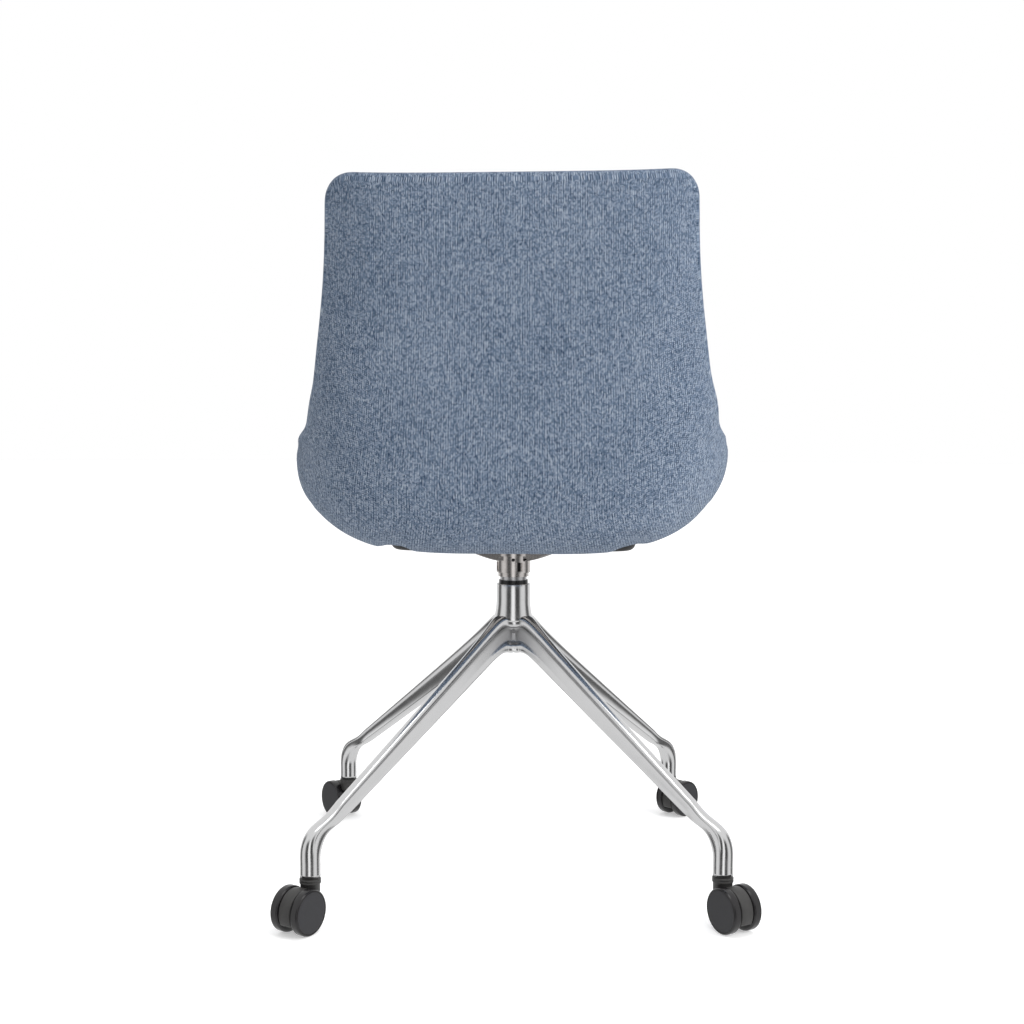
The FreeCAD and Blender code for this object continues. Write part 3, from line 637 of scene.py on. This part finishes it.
# %% Sitter's cover and outer cover
def sitters_cover():
    front = shell_grid(rim_radius, front_depth)
    turns = np.linspace(0, seam_turn, 11)[1:]
    rings = [shell_ring(*rim_place(turn), rim_radius, rim_radius * math.radians(turn)) for turn in turns]
    half_round = rim_radius * math.radians(seam_turn)
    rings.append(shell_ring(seam_inset + 0.9 * MM, seam_depth - 0.1 * MM, rim_radius, half_round + 1 * MM))
    rings.append(shell_ring(seam_inset + 3.0 * MM, seam_depth + 0.3 * MM, rim_radius, half_round + 3 * MM))

    def hidden(x, s):
        edge = np.minimum(x_edge(s) - np.abs(x), np.minimum(s, profile_length - s))
        share = np.clip((edge - 5 * MM) / (4 * MM), 0, 1)
        return seam_depth + 0.6 * MM + (shell_front_depth - seam_depth) * share

    back = shell_grid(seam_inset + 4.0 * MM, hidden)
    points, faces = closed_pad(front, rings, back)
    held = np.arange(len(points)) >= front.shape[0] * front.shape[1] + len(rings[0]) * (len(rings) - 3)
    return points, faces, held


def outer_cover():
    inner = shell_grid(seam_inset + 3.2 * MM, lambda x, s: np.full(x.shape, shell_rear_depth))
    turns = np.linspace(seam_turn, 180, 7)[:-1]
    places = [(seam_inset + 1.0 * MM, seam_depth - 0.9 * MM), (seam_inset + 0.25 * MM, seam_depth - 0.8 * MM)]
    places += [rim_place(turn) for turn in turns[1:]]
    turns = np.concatenate([[seam_turn - 8], turns])
    rings = [shell_ring(*place, rear_roll, rear_roll * math.radians(180 - turn))
             for place, turn in zip(places, turns)]
    back = shell_grid(rear_roll, lambda x, s: np.zeros(x.shape))
    points, faces = closed_pad(inner, rings, back)
    held = np.arange(len(points)) < inner.shape[0] * inner.shape[1] + 2 * len(rings[0])
    return points, faces, held


# %% [markdown]
# ## Filling the covers
# Foam presses the cloth outwards until the weave is tight. Cloth simulation does the same: each closed pad is
# blown up a little with its hidden side pinned. Left alone, thin cloth would also crease along the middle of
# the seat, so only the outward part of its movement is kept, no further than the foam would push.

# %% Inflate a pad
filling_frames = 20
sharing_rounds = 16                # how often a point shares its neighbours' rise


def inflate(piece, held, pressure, most):
    """Blows the pad up with its held points pinned, and keeps up to `most` metres of the rise."""
    rest = read_points(piece.data)
    group = piece.vertex_groups.new(name="held")
    group.add([int(k) for k in np.flatnonzero(held)], 1.0, "REPLACE")
    cloth = piece.modifiers.new("filling", "CLOTH")
    settings = cloth.settings
    settings.quality = 4
    settings.mass = 0.25
    settings.tension_stiffness = settings.compression_stiffness = 18
    settings.shear_stiffness = 8
    settings.bending_stiffness = 1.5
    settings.vertex_group_mass = "held"
    settings.use_pressure = True
    settings.uniform_pressure_force = pressure
    settings.effector_weights.gravity = 0
    cloth.collision_settings.use_collision = False
    cloth.point_cache.frame_start, cloth.point_cache.frame_end = 1, filling_frames
    for number in range(1, filling_frames + 1):
        scene.frame_set(number)
    graph = bpy.context.evaluated_depsgraph_get()
    blown = read_points(piece.evaluated_get(graph).to_mesh())
    piece.evaluated_get(graph).to_mesh_clear()
    piece.modifiers.remove(cloth)
    scene.frame_set(1)
    # foam is too thick to follow a sharp fold of the cloth, so only the outward movement is kept,
    # and each point shares it with its neighbours
    outwards = read_vectors(piece.data.vertices, "normal")
    rise = np.clip(np.einsum("ij,ij->i", blown - rest, outwards), 0, most)
    ends = np.array([edge.vertices[:] for edge in piece.data.edges])
    ends = np.concatenate([ends, ends[:, ::-1]])
    count = np.bincount(ends[:, 0], minlength=len(rest))
    for _ in range(sharing_rounds):
        around = np.bincount(ends[:, 0], weights=rise[ends[:, 1]], minlength=len(rest))
        rise = np.where(held, rise, 0.4 * rise + 0.6 * around / count)
    write_points(piece.data, rest + outwards * rise[:, None])
    piece.vertex_groups.clear()
    print(piece.name, "moved up to %.1f mm" % (1000 * rise.max()))


# %% Make both covers
def cover(name, made, pressure, most, fineness):
    points, faces, held = made
    flat = np.concatenate([points[:, 3:], np.zeros((len(points), 1))], -1)
    piece = make_piece(name, points[:, :3], faces, "cloth", {"cloth_place": flat})
    inflate(piece, held, pressure, most)
    subdivide(piece, fineness)
    return piece


seat_pad = cover("sitter_cover_and_foam", sitters_cover(), 4.0, 4.0 * MM, fineness=2)
rear_pad = cover("outer_cover", outer_cover(), 2.0, 1.2 * MM, fineness=1)
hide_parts("seat_foam", "front_cover")
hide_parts("rear_foam", "rear_cover")

# %% [markdown]
# ## Seams and small unevenness
# The sitter's cover has a sewn line two fingers inside the rim, where the border panel meets the main panel,
# and a second line across the bend between seat and back. A sewn line pulls the cloth down into the foam.
# Hand upholstery is also never quite even, so both covers lean a touch and pucker a little at the wings.

# %% Pull the seams in and add the unevenness
border_seam_inset = 34.0 * MM
bend_seam = knots[5] + 8 * MM
seam_width = 3.2 * MM
border_pull, bend_pull = 2.6 * MM, 2.2 * MM
tray_side, tray_pinch = 138 * MM, 4.4 * MM
lean = math.radians(0.7)


def seam_distance(x, s):
    """Distance from the sewn lines of the sitter's cover, on the flat cloth."""
    corner = 30 * MM
    to_side = x_edge(s) - np.abs(x) - border_seam_inset
    to_end = np.minimum(s, profile_length - s) - border_seam_inset
    outside = np.hypot(np.minimum(to_side - corner, 0), np.minimum(to_end - corner, 0))
    inside = np.minimum(np.minimum(to_side, to_end), corner)
    ring = np.abs(np.where((to_side < corner) & (to_end < corner), corner - outside, inside))
    return ring, np.abs(s - bend_seam) + 1000 * (to_side < 0)


def hump(where, middle, width):
    """1 at the middle, and falling off to nothing beyond the width."""
    return np.exp(-((where - middle) / width) ** 2)


def uneven(points, normals):
    """The covers' own lean and puckers; the sitter's right wing is at x < 0."""
    x, y, z = points.T
    # only the outside of a wing fills out; its inner face stays against the moulded shell
    outside = 0.15 + 0.85 * np.clip(0.5 + normals[:, 0] * np.sign(x), 0, 1)
    lift = np.clip((z - 0.412) / 0.06, 0, 1)
    lift = lift * lift * (3 - 2 * lift)
    moved = points.copy()
    beside_tray = np.clip((np.abs(x) - 0.13) / 0.03, 0, 1)
    moved[:, 2] -= np.maximum(lift, 1.3 * beside_tray * (z < 0.46)) * x * math.sin(lean)
    moved[:, 0] -= np.sign(x) * 3.0 * MM * hump(z, 0.452, 0.025)
    # the seat's side is stuffed fuller on the sitter's left
    fuller = np.clip((0.60 - z) / 0.13, 0, 1) * lift * np.clip(0.25 + x / 0.2, 0, 1) ** 2
    moved[:, 0] += 6 * MM * fuller * outside
    wing = np.sign(x) * np.clip(abs(x) / 0.2, 0, 1) ** 2 * outside
    moved[:, 0] += wing * 3.0 * MM * hump(z, 0.61, 0.06)
    moved[:, 0] += wing * np.where(x < 0, 5.0, 2.2) * MM * hump(z, 0.572, 0.026)
    # the cover bunches up where the wing turns into the back, a little differently on each side
    moved[:, 0] += wing * np.where(x < 0, 1.6, 4.0) * MM * hump(z, 0.5425, 0.008)
    moved[:, 0] -= wing * np.where(x < 0, 2.0, 1.5) * MM * hump(z, 0.531, 0.007)
    return moved


def pull_seams_in(mesh):
    """Only the side towards the sitter has sewn lines; the cloth place tells how near each point is."""
    points, normals = read_points(mesh), read_vectors(mesh.vertices, "normal")
    x, s, _ = read_vectors(mesh.attributes["cloth_place"].data, "vector").T
    towards_sitter = np.einsum("ij,ij->i", normals, skin_normal(np.clip(x / x_edge(s), -1, 1), s)) > 0.3
    ring, across = seam_distance(x, s)
    pull = border_pull * hump(ring, 0, seam_width) + bend_pull * hump(across, 0, seam_width)
    return points - normals * (pull * towards_sitter)[:, None], normals


def pinch_beside_tray(mesh):
    """Screwing the tray down pulls the outer cover up beside it."""
    points, normals = read_points(mesh), read_vectors(mesh.vertices, "normal")
    down = np.clip(-normals[:, 2] - 0.3, 0, 1)
    beside = np.exp(-((abs(points[:, 0]) - tray_side) / 0.017) ** 4) * (points[:, 2] < 0.43)
    points[:, 2] += tray_pinch * beside * np.clip(down * 4, 0, 1)
    return points, normals


for piece, sewn in ((seat_pad, pull_seams_in), (rear_pad, pinch_beside_tray)):
    write_points(piece.data, uneven(*sewn(piece.data)))
    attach(piece, "seat")
print("covers:", len(seat_pad.data.vertices), "and", len(rear_pad.data.vertices), "points")

# %% [markdown]
# ## The cast base
# The base is one casting with four legs. Each leg has a round bead along its top, a cove under the bead and a
# flared side, and between two legs the same profile runs round the corner. A hyperbola is the natural path
# for that: far out it lies along both legs, and near the column it turns smoothly from one to the other.

# %% Lines of a leg
base_turn = 2.3
leg_reach = 321.0 * MM
leg_foot_radius = 11.3 * MM
leg_angles = {"rear_left": 45.0, "rear_right": 135.0, "front_right": 225.0, "front_left": 315.0}
column_radius = 21.0 * MM
ridge_root, belly_root = 333.8 * MM, 289.7 * MM
knee_run = 35.0 * MM
ridge_knee_at, belly_knee_at = leg_reach - knee_run + 10 * MM, leg_reach - knee_run
ridge_slope = (ridge_root - (leg_foot_bottom + 64.1 * MM)) / ridge_knee_at
belly_slope = (belly_root - (leg_foot_bottom + 52.1 * MM)) / belly_knee_at
hub_floor = 273.0 * MM             # lower edge of the casting between two legs
hub_ridge = 318.0 * MM             # where the legs' ridges end against the column
hub_softness, softness_ends = 14.0 * MM, 40.0 * MM
half_bead, half_side = 6.25 * MM, 9.5 * MM
corner_spread = 9.6 * MM           # how far the profile swings out between two legs
print("a leg falls", round(math.degrees(math.atan(ridge_slope))), "degrees along its ridge")


# %% Stations out along a leg
def softened(r):
    """The distance out, but flat near the axis, so that the corners meet without a crease."""
    return math.hypot(r, hub_softness)


def leg_rows():
    """Rows of: top r, top z, bottom r, bottom z, half width at the bead and at the side, roundness."""
    slope = math.atan((ridge_slope + belly_slope) / 2)
    rows = []
    for r in np.concatenate([np.linspace(0, 60, 49), np.linspace(63, 280, 52)]) * MM:
        back = hub_softness * math.exp(-r / softness_ends)
        top = ridge_root - ridge_slope * (softened(r) - back)
        top -= math.exp(-(r / (17 * MM)) ** 2) * (ridge_root - hub_ridge)
        share = min(r / (60 * MM), 1.0)
        share = share * share * (3 - 2 * share)
        drop = ridge_root - belly_root - (ridge_slope - belly_slope) * r
        bottom_r = r - drop * math.sin(slope) * math.cos(slope) * share
        bottom = belly_root - belly_slope * (softened(bottom_r) - back)
        bottom -= math.exp(-(bottom_r / (20 * MM)) ** 2) * (belly_root - hub_floor)
        rows.append((r, top, bottom_r, bottom, half_bead, half_side, 0.0))
    outer, inner, foot = leg_reach + leg_foot_radius, leg_reach - leg_foot_radius, leg_foot_bottom
    knee = [
        (ridge_knee_at, ridge_root - ridge_slope * ridge_knee_at - 1 * MM, belly_knee_at,
         belly_root - belly_slope * belly_knee_at, half_bead * 1.15, half_side, 0.30),
        (outer - 7.5 * MM, foot + 46 * MM, inner - 6 * MM, foot + 38.5 * MM, 9.4 * MM, half_side, 0.72),
        (outer - 0.6 * MM, foot + 30.5 * MM, inner - 0.6 * MM, foot + 24.5 * MM, 11.0 * MM, 11.0 * MM, 0.97),
        (outer, foot + 14.5 * MM, inner, foot + 13.5 * MM, leg_foot_radius, leg_foot_radius, 1.0),
        (outer, foot, inner, foot, leg_foot_radius, leg_foot_radius, 1.0),
    ]
    return smooth_end(rows, knee)


# %% Knee and foot
def smooth_end(rows, knee):
    """Joins the knee's few stations to the leg with a spline through all of them."""
    rows = [np.array(row) for row in rows]
    table = np.array(rows[-4::3] + [np.array(station) for station in knee])
    length = np.concatenate([[0], np.cumsum(np.hypot(np.diff(table[:, 0]), np.diff(table[:, 1])))])
    places = np.linspace(length[1], length[-1], 40)[1:]
    splines = [spline_through(length, table[:, k]) for k in range(7)]
    rows += [np.array([spline(p) for spline in splines]) for p in places]
    # the foot's end rolls over a small lip and turns up into the stem's socket
    for radius, height in ((11.1, 0.0), (10.6, -0.35), (8.4, -0.35), (8.1, 0.0), (8.1, 6.0)):
        radius, height = radius * MM, leg_foot_bottom + (height + 0.35) * MM
        rows.append(np.array([leg_reach + radius, height, leg_reach - radius, height, radius, radius, 1.0]))
    return rows


# %% The leg's profile
def half_profile(half_top, half_bottom, roundness):
    """Half of a leg's section as (across, share of the depth, how deep in the cove)."""
    neck, low = half_top * 0.78, half_bottom
    bead_end, cove_end, side_end = 0.29, 0.29 * 1.16, 0.90
    flare = 0.55 * neck + 0.45 * low
    rows = []
    # the bead
    for turn in np.radians(np.linspace(0, 150, 13)):
        inner = 0 if turn < math.pi / 2 else neck
        share = bead_end * 0.5 * (1 - math.cos(turn)) / 0.933
        rows.append((inner + (half_top - inner) * math.sin(turn), share, 0.0))
    # the cove under it
    rows.append((neck * 0.96, bead_end * 1.06, 1.0))
    rows.append((neck * 0.98, cove_end, 0.7))
    # the flared side
    for share in np.linspace(0, 1, 12)[1:]:
        middle = 4 * share * (1 - share) * (flare - (neck + low) / 2) * 0.6
        across = neck + (low - neck) * share ** 1.5 + middle
        rows.append((across, cove_end + (side_end - cove_end) * share, 0.0))
    # the rounded underside
    for turn in np.radians(np.linspace(0, 90, 9)[1:-1]):
        rows.append((low * math.cos(turn) ** 0.8, side_end + (1 - side_end) * math.sin(turn), 0.0))
    rows.append((0.0, 1.0, 0.0))
    # towards the foot the section turns into a round tube
    rounded = []
    for across, share, cove in rows:
        tube = (half_top + (half_bottom - half_top) * share) * math.sqrt(max(0, 1 - (1 - 2 * share) ** 2))
        rounded.append((across + (tube - across) * roundness, share, cove * (1 - roundness)))
    return rounded


# %% One corner of the base, from leg to leg
def corner_surface(rows):
    """Grid of points between two neighbouring legs, which lie along +X and +Y here."""
    grid, recess = [], []
    for k in range(-len(rows) + 1, len(rows)):
        top_r, top_z, bottom_r, bottom_z, half_top, half_bottom, roundness = rows[abs(k)]
        line, deep = [], []
        for across, share, cove in half_profile(half_top, half_bottom, min(max(roundness, 0.0), 1.0)):
            r = top_r + (bottom_r - top_r) * share
            z = top_z + (bottom_z - top_z) * share
            reach = r - across * math.tanh(r / (2 * across + 1e-6)) if across > 0 else r
            near = math.exp(-(reach / (55 * MM)) ** 2)
            spread = corner_spread * (1 - math.exp(-across / (1.6 * MM)))
            spread *= math.exp(-(reach / (70 * MM)) ** 2)
            # the lower rim stands out, with a small block cast in its middle; the web above it is recessed
            rim = min(max((share - 0.70) / 0.05, 0.0), 1.0)
            block = 1 / (1 + math.exp((reach - 10.6 * MM) / (0.7 * MM)))
            spread += min(across / (4 * MM), 1.0) * rim * (1.6 * near + 1.3 * block) * MM
            web = near * (1 - rim) * min(max((share - 0.32) / 0.06, 0.0), 1.0)
            spread -= 1.2 * MM * web
            # the web joins the recess mask, so painted shade darkens it as well as the cove
            cove = max(cove, 0.85 * web)
            root = math.sqrt(reach ** 2 / 4 + spread ** 2)
            along, beside = across + reach / 2 + root, across - reach / 2 + root
            x, y = (along, beside) if k >= 0 else (beside, along)
            line.append((x, y, z))
            deep.append(cove)
        grid.append(line)
        recess.append(deep)
    return np.array(grid), np.array(recess)


def base_casting():
    grid, recess = corner_surface(leg_rows())
    points, faces, masks = [], [], []
    lines, places = grid.shape[:2]
    for corner in range(4):
        angle = math.radians(45.0 + base_turn + 90.0 * corner)
        turn = np.array([[math.cos(angle), math.sin(angle)], [-math.sin(angle), math.cos(angle)]])
        copy = grid.reshape(-1, 3).copy()
        copy[:, :2] = copy[:, :2] @ turn
        start = corner * lines * places
        points.append(copy)
        masks.append(recess.ravel())
        for i in range(lines - 1):
            for j in range(places - 1):
                a = start + i * places + j
                faces.append((a, a + places, a + places + 1, a + 1))
    return np.concatenate(points), faces, np.concatenate(masks)


# %% [markdown]
# ## The column
# The column is round, so it was turned after casting. A lathe function does the same with points: it takes
# the outline from the bore to the outside and carries it round the axis. The flare at its foot meets the
# legs, and the small bevels at the top catch a thin line of light.

# %% The column, turned on a lathe
def lathe(profile, segments, closed=True):
    """Points and faces of a profile of (radius, z) turned about the Z axis."""
    points, faces = [], []
    count = len(profile)
    for k in range(segments):
        angle = 2 * math.pi * k / segments
        points += [(r * math.cos(angle), r * math.sin(angle), z) for r, z in profile]
        a, b = k * count, (k + 1) % segments * count
        for j in range(count if closed else count - 1):
            n = (j + 1) % count
            faces.append((a + j, b + j, b + n, a + n))
    return np.array(points), faces


def column_profile():
    bore, r, top = 15.0 * MM, column_radius, column_top
    flare = [(r, 338 * MM), (r + 0.15 * MM, 332 * MM), (r + 0.7 * MM, 326 * MM), (r + 1.6 * MM, 320.5 * MM),
             (r + 2.6 * MM, 316.5 * MM), (r + 3.3 * MM, 313.5 * MM), (r + 3.3 * MM, 311.5 * MM),
             (r - 2 * MM, 309 * MM), (r - 2 * MM, 290 * MM)]
    return [(bore, 290 * MM), (bore, top - 0.5 * MM), (bore + 0.5 * MM, top), (r - 1.1 * MM, top),
            (r - 0.4 * MM, top - 0.3 * MM), (r, top - 1.0 * MM)] + flare


def joined(*parts):
    """Several sets of points and faces as one."""
    points, faces, count = [], [], 0
    for some, others in parts:
        points.append(some)
        faces += [tuple(k + count for k in face) for face in others]
        count += len(some)
    return np.concatenate(points), faces


star, star_faces, star_recess_shade = base_casting()
column, column_faces = lathe(column_profile(), 96)
points, faces = joined((star, star_faces), (column, column_faces))
base = make_piece("cast_base", points, faces, "casting",
                  {"recess": np.concatenate([star_recess_shade, np.zeros(len(column))])})
# two corners meet along the middle of each leg, so their doubled points are merged there
casting = bmesh.new()
casting.from_mesh(base.data)
bmesh.ops.remove_doubles(casting, verts=casting.verts, dist=0.01 * MM)
casting.to_mesh(base.data)
casting.free()
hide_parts("base_frame")
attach(base, "base")
print("cast base:", len(points), "points")

# %% [markdown]
# ## Castors
# A furniture castor has two wheels on one pin with a hood between them. The wheels are moulded with a smooth
# rolled tread and a flat matte face inside a fine ring. Each is turned on its own axle line, and rides on its
# own body, because the two wheels roll on their own when the chair swings round.

# %% Castor measures
castor_headings = {"rear_left": 59.0, "rear_right": 121.0, "front_left": 308.0, "front_right": 224.3}
wheel_radius = 25.0 * MM
castor_trail = 20.0 * MM
castor_band = 15.4 * MM
castor_side_gap = 0.8 * MM
lathe_steps = 96
WHEEL = [  # (distance out from the inner face, radius, is it the matte face), mm
    (2.0, 3.1, 0), (0.0, 3.1, 0), (0.0, 12.0, 0), (0.0, 22.6, 0),                       # inner face
    (0.25, 23.6, 0), (0.8, 24.5, 0), (1.7, 25.0, 0), (3.0, 25.0, 0), (6.0, 25.0, 0),    # tread
    (8.6, 25.0, 0), (9.5, 24.7, 0), (10.2, 24.1, 0), (10.55, 23.4, 0), (10.6, 22.9, 0),
    (10.45, 22.7, 0), (10.05, 22.6, 0), (10.0, 22.4, 0.5), (10.3, 22.1, 1),             # fine ring
    (10.42, 21.4, 1), (10.5, 18.0, 1), (10.6, 12.0, 1), (10.66, 6.0, 1), (10.68, 0.0, 1),
]


def castor_matrix(name):
    """From a castor at the origin, trailing along +X, to its place under the leg."""
    angle = math.radians(leg_angles[name] + base_turn)
    stem = Vector((leg_reach * math.cos(angle), leg_reach * math.sin(angle), 0))
    return Matrix.Translation(stem) @ Matrix.Rotation(math.radians(castor_headings[name]), 4, "Z")


def turned_wheel(side):
    """A wheel whose axle lies along Y, on the castor's left (side 1) or right (side -1)."""
    inner = castor_band / 2 + castor_side_gap
    turned, faces = lathe([(radius * MM, inner + out * MM) for out, radius, _ in WHEEL], lathe_steps, False)
    points = np.stack([castor_trail + turned[:, 0], side * turned[:, 2], wheel_radius + turned[:, 1]], -1)
    if side > 0:
        faces = [face[::-1] for face in faces]
    return points, faces, [matte for _, _, matte in WHEEL] * lathe_steps


def placed(points, matrix):
    return np.array([matrix @ Vector(p) for p in points])


# %% [markdown]
# ## Castor hoods
# The hood is a curved band between the wheels, cut off level below, with a neck and a stepped collar above it
# that turns on the stem. It is three simple shapes: the band is swept round an arc, and the neck and the web
# round the pin are turned. They overlap inside the nylon, where no seam shows.

# %% The hood between the wheels
def hood_outline():
    """Outside and inside of the hood from the side: round, with the lower ends cut off, as (x, z)."""
    radius, drop, wall = 24.0 * MM, 12.0 * MM, 3 * MM
    start = math.asin(drop / radius)
    turns = np.linspace(-start, math.pi + start, 49)
    return [[(castor_trail + r * math.cos(a), wheel_radius + r * math.sin(a)) for a in turns]
            for r in (radius, radius - wall)]


def hood_band():
    """The curved band that fills the gap between the wheels, with softened edges."""
    outline, inner = hood_outline()
    half, soft = castor_band / 2, 0.9 * MM
    path = [(-half, soft), (-half + soft * 0.3, 0.3 * soft), (-half + soft, 0.0), (half - soft, 0.0),
            (half - soft * 0.3, 0.3 * soft), (half, soft)]
    points, faces = [], []
    width = len(path) + 2
    for (x, z), (xi, zi) in zip(outline, inner):
        out = Vector((x - castor_trail, 0, z - wheel_radius)).normalized()
        for y, sunk in path:
            points.append((x - out.x * sunk, y, z - out.z * sunk))
        points.append((xi, half, zi))
        points.append((xi, -half, zi))
    for k in range(len(outline) - 1):
        for j in range(width):
            n = (j + 1) % width
            faces.append((k * width + j, (k + 1) * width + j, (k + 1) * width + n, k * width + n))
    last = (len(outline) - 1) * width
    faces.append(tuple(range(width)))
    faces.append(tuple(range(last + width - 1, last - 1, -1)))
    return np.array(points), faces


NECK = [  # (radius, z) of the neck and stepped collar, mm
    (5.6, 38.5), (8.6, 38.5), (10.8, 41.0), (10.8, 49.3), (11.2, 49.8), (11.6, 50.2), (11.8, 50.8),
    (11.8, 52.3), (11.5, 52.5), (11.5, 52.8), (11.8, 53.0), (11.8, 55.0), (11.4, 55.6), (10.4, 55.8),
    (9.5, 55.9), (9.5, 57.4), (5.6, 57.4),
]


def hub_disc():
    """The web of the hood round its pin, in the plane between the wheels."""
    points, faces = lathe([(3.0 * MM, -castor_band / 2), (8.5 * MM, -castor_band / 2),
                           (8.5 * MM, castor_band / 2), (3.0 * MM, castor_band / 2)], 48)
    tip = Matrix.Translation((castor_trail, 0, wheel_radius)) @ Matrix.Rotation(math.pi / 2, 4, "X")
    return placed(points, tip), faces


def castor(name):
    matrix = castor_matrix(name)
    band = hood_band()
    neck = lathe([(r * MM, z * MM) for r, z in NECK], 64)
    points, faces = joined(band, neck, hub_disc())
    hood = make_piece("castor_%s_moulded_hood" % name, placed(points, matrix), faces, "hood")
    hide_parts("castor_%s_hood" % name)
    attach(hood, "castor_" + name)
    for side, letter in ((1, "a"), (-1, "b")):
        points, faces, face_mask = turned_wheel(side)
        wheel = make_piece("castor_%s_moulded_wheel_%s" % (name, letter), placed(points, matrix), faces,
                           "wheel", {"face": face_mask})
        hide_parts("castor_%s_wheel_%s" % (name, letter))
        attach(wheel, "wheel_%s_%s" % (name, letter))


for name in castor_headings:
    castor(name)
print("castors:", ", ".join(castor_headings))

# %% [markdown]
# ## The floor
# The chair stands on a plain pale floor. Its slight glow is for the camera alone, so it looks as pale as the
# background without being a lamp, and it is hidden from mirror reflections, so that the polished legs show
# the studio's bands instead.

# %% Floor
def floor_finish():
    paint = Finish("pale_floor", Roughness=0.75, Specular_IOR_Level=0.2)
    soft = paint.clouds(paint.place(), 3.0)
    paint.drive("Base Color", paint.mixed(soft, (0.93, 0.93, 0.93, 1), (0.97, 0.97, 0.97, 1)))
    seen = paint.node("ShaderNodeLightPath")
    paint.drive("Emission Color", paint.vector(seen, seen, seen))
    paint.shader.inputs["Emission Strength"].default_value = 0.4
    return paint.material


floor_rings = [(radius, floor_z) for radius in (0.5, 1.0, 2.0, 5.0, 12.0, 30.0)]
floor_steps = 64
disc_points, disc_faces = lathe(floor_rings, floor_steps, False)
# the middle is one face, turned the same way up as the rings
disc_faces = [face[::-1] for face in disc_faces] + [tuple(k * len(floor_rings) for k in range(floor_steps))]
floor_mesh = bpy.data.meshes.new("floor")
floor_mesh.from_pydata([tuple(point) for point in disc_points], [], disc_faces)
floor_mesh.materials.append(floor_finish())
floor = bpy.data.objects.new("floor", floor_mesh)
scene.collection.objects.link(floor)
floor.visible_glossy = False
print("floor:", len(disc_faces), "faces")

# %% [markdown]
# ## The studio round the chair
# Polished metal only looks like metal if it has something dark to mirror. The world is painted like a room:
# bands of light and dark wall, a bright ceiling and a bright floor far away. The camera itself sees plain
# white.

# %% Studio walls
class Studio(Finish):
    """The world's nodes, made with the same tools as a finish."""

    def __init__(self):
        scene.world = bpy.data.worlds.new("studio")
        scene.world.use_nodes = True
        self.tree = scene.world.node_tree
        self.tree.nodes.clear()

    def fade(self, value, start, end):
        """0 to 1 while the value goes from start to end."""
        return self.node("ShaderNodeMapRange", {"interpolation_type": "SMOOTHSTEP"},
                         {0: value, 1: start, 2: end, 3: 0.0, 4: 1.0})


studio = Studio()
x, y, height = studio.axes(studio.node("ShaderNodeTexCoord"))
# how far round the room, as a share of half a turn from +Y; bright and dark walls take turns
turn = studio.node("ShaderNodeMath", {"operation": "ARCTAN2"}, {0: x, 1: y})
wall_greys = [(0.0, 1.2), (0.05, 1.1), (0.09, 0.06), (0.22, 0.08), (0.30, 0.80), (0.46, 0.85), (0.53, 0.10),
              (0.63, 0.14), (0.70, 0.9), (1.0, 0.9)]
paint = [(share, (grey, grey, grey, 1)) for share, grey in wall_greys]
walls = studio.node("ShaderNodeValToRGB", {"stops": paint}, {0: abs(turn) / math.pi})
room = studio.mixed(studio.fade(height, 0.30, 0.62), walls, (0.85, 0.85, 0.85, 1))
room = studio.mixed(studio.fade(height, -0.30, -0.60), room, (0.80, 0.80, 0.80, 1))
room = studio.mixed(studio.node("ShaderNodeLightPath"), room, (1, 1, 1, 1))
background = studio.node("ShaderNodeBackground", None, {0: room, 1: 1.0})
studio.tree.links.new(background.socket, studio.tree.nodes.new("ShaderNodeOutputWorld").inputs[0])
print("walls:", len(wall_greys), "greys from one side of the room to the other")

# %% [markdown]
# ## Lamps and camera
# One large soft lamp from the side models the cloth's weave, and a weaker one overhead gives the metal its
# bright lines. The camera stands behind the chair, a little above the seat, and looks almost level, so the
# legs' slope and the shell's width are both seen without much perspective.

# %% Lamps and camera
def soft_lamp(name, place, aim, size, power, glossy=False):
    lamp = bpy.data.lights.new(name, "AREA")
    lamp.shape = "RECTANGLE"
    lamp.size, lamp.size_y = size
    lamp.energy = power
    holder = bpy.data.objects.new(name, lamp)
    holder.location = place
    holder.visible_glossy = glossy
    holder.rotation_euler = (Vector(aim) - Vector(place)).to_track_quat("-Z", "Y").to_euler()
    scene.collection.objects.link(holder)


middle = (0.0, 0.0, 0.5)
soft_lamp("key", (-2.3, 1.5, 1.5), middle, (1.2, 1.4), 44)
soft_lamp("overhead", (-0.3, 0.6, 2.6), middle, (1.4, 1.0), 12, True)

camera = bpy.data.cameras.new("camera")
camera.sensor_width, camera.lens = 36.0, 49.74
eye = bpy.data.objects.new("camera", camera)
pan, tilt, roll = 181.0, 87.0, 0.22
eye.matrix_world = (Matrix.Translation((-0.0286, 1.7598, 0.538))
                    @ Matrix.Rotation(math.radians(pan), 4, "Z")
                    @ Matrix.Rotation(math.radians(tilt), 4, "X")
                    @ Matrix.Rotation(math.radians(roll), 4, "Z"))
scene.collection.objects.link(eye)
scene.camera = eye
print("camera", round(eye.location.length, 3), "m from the chair's foot")
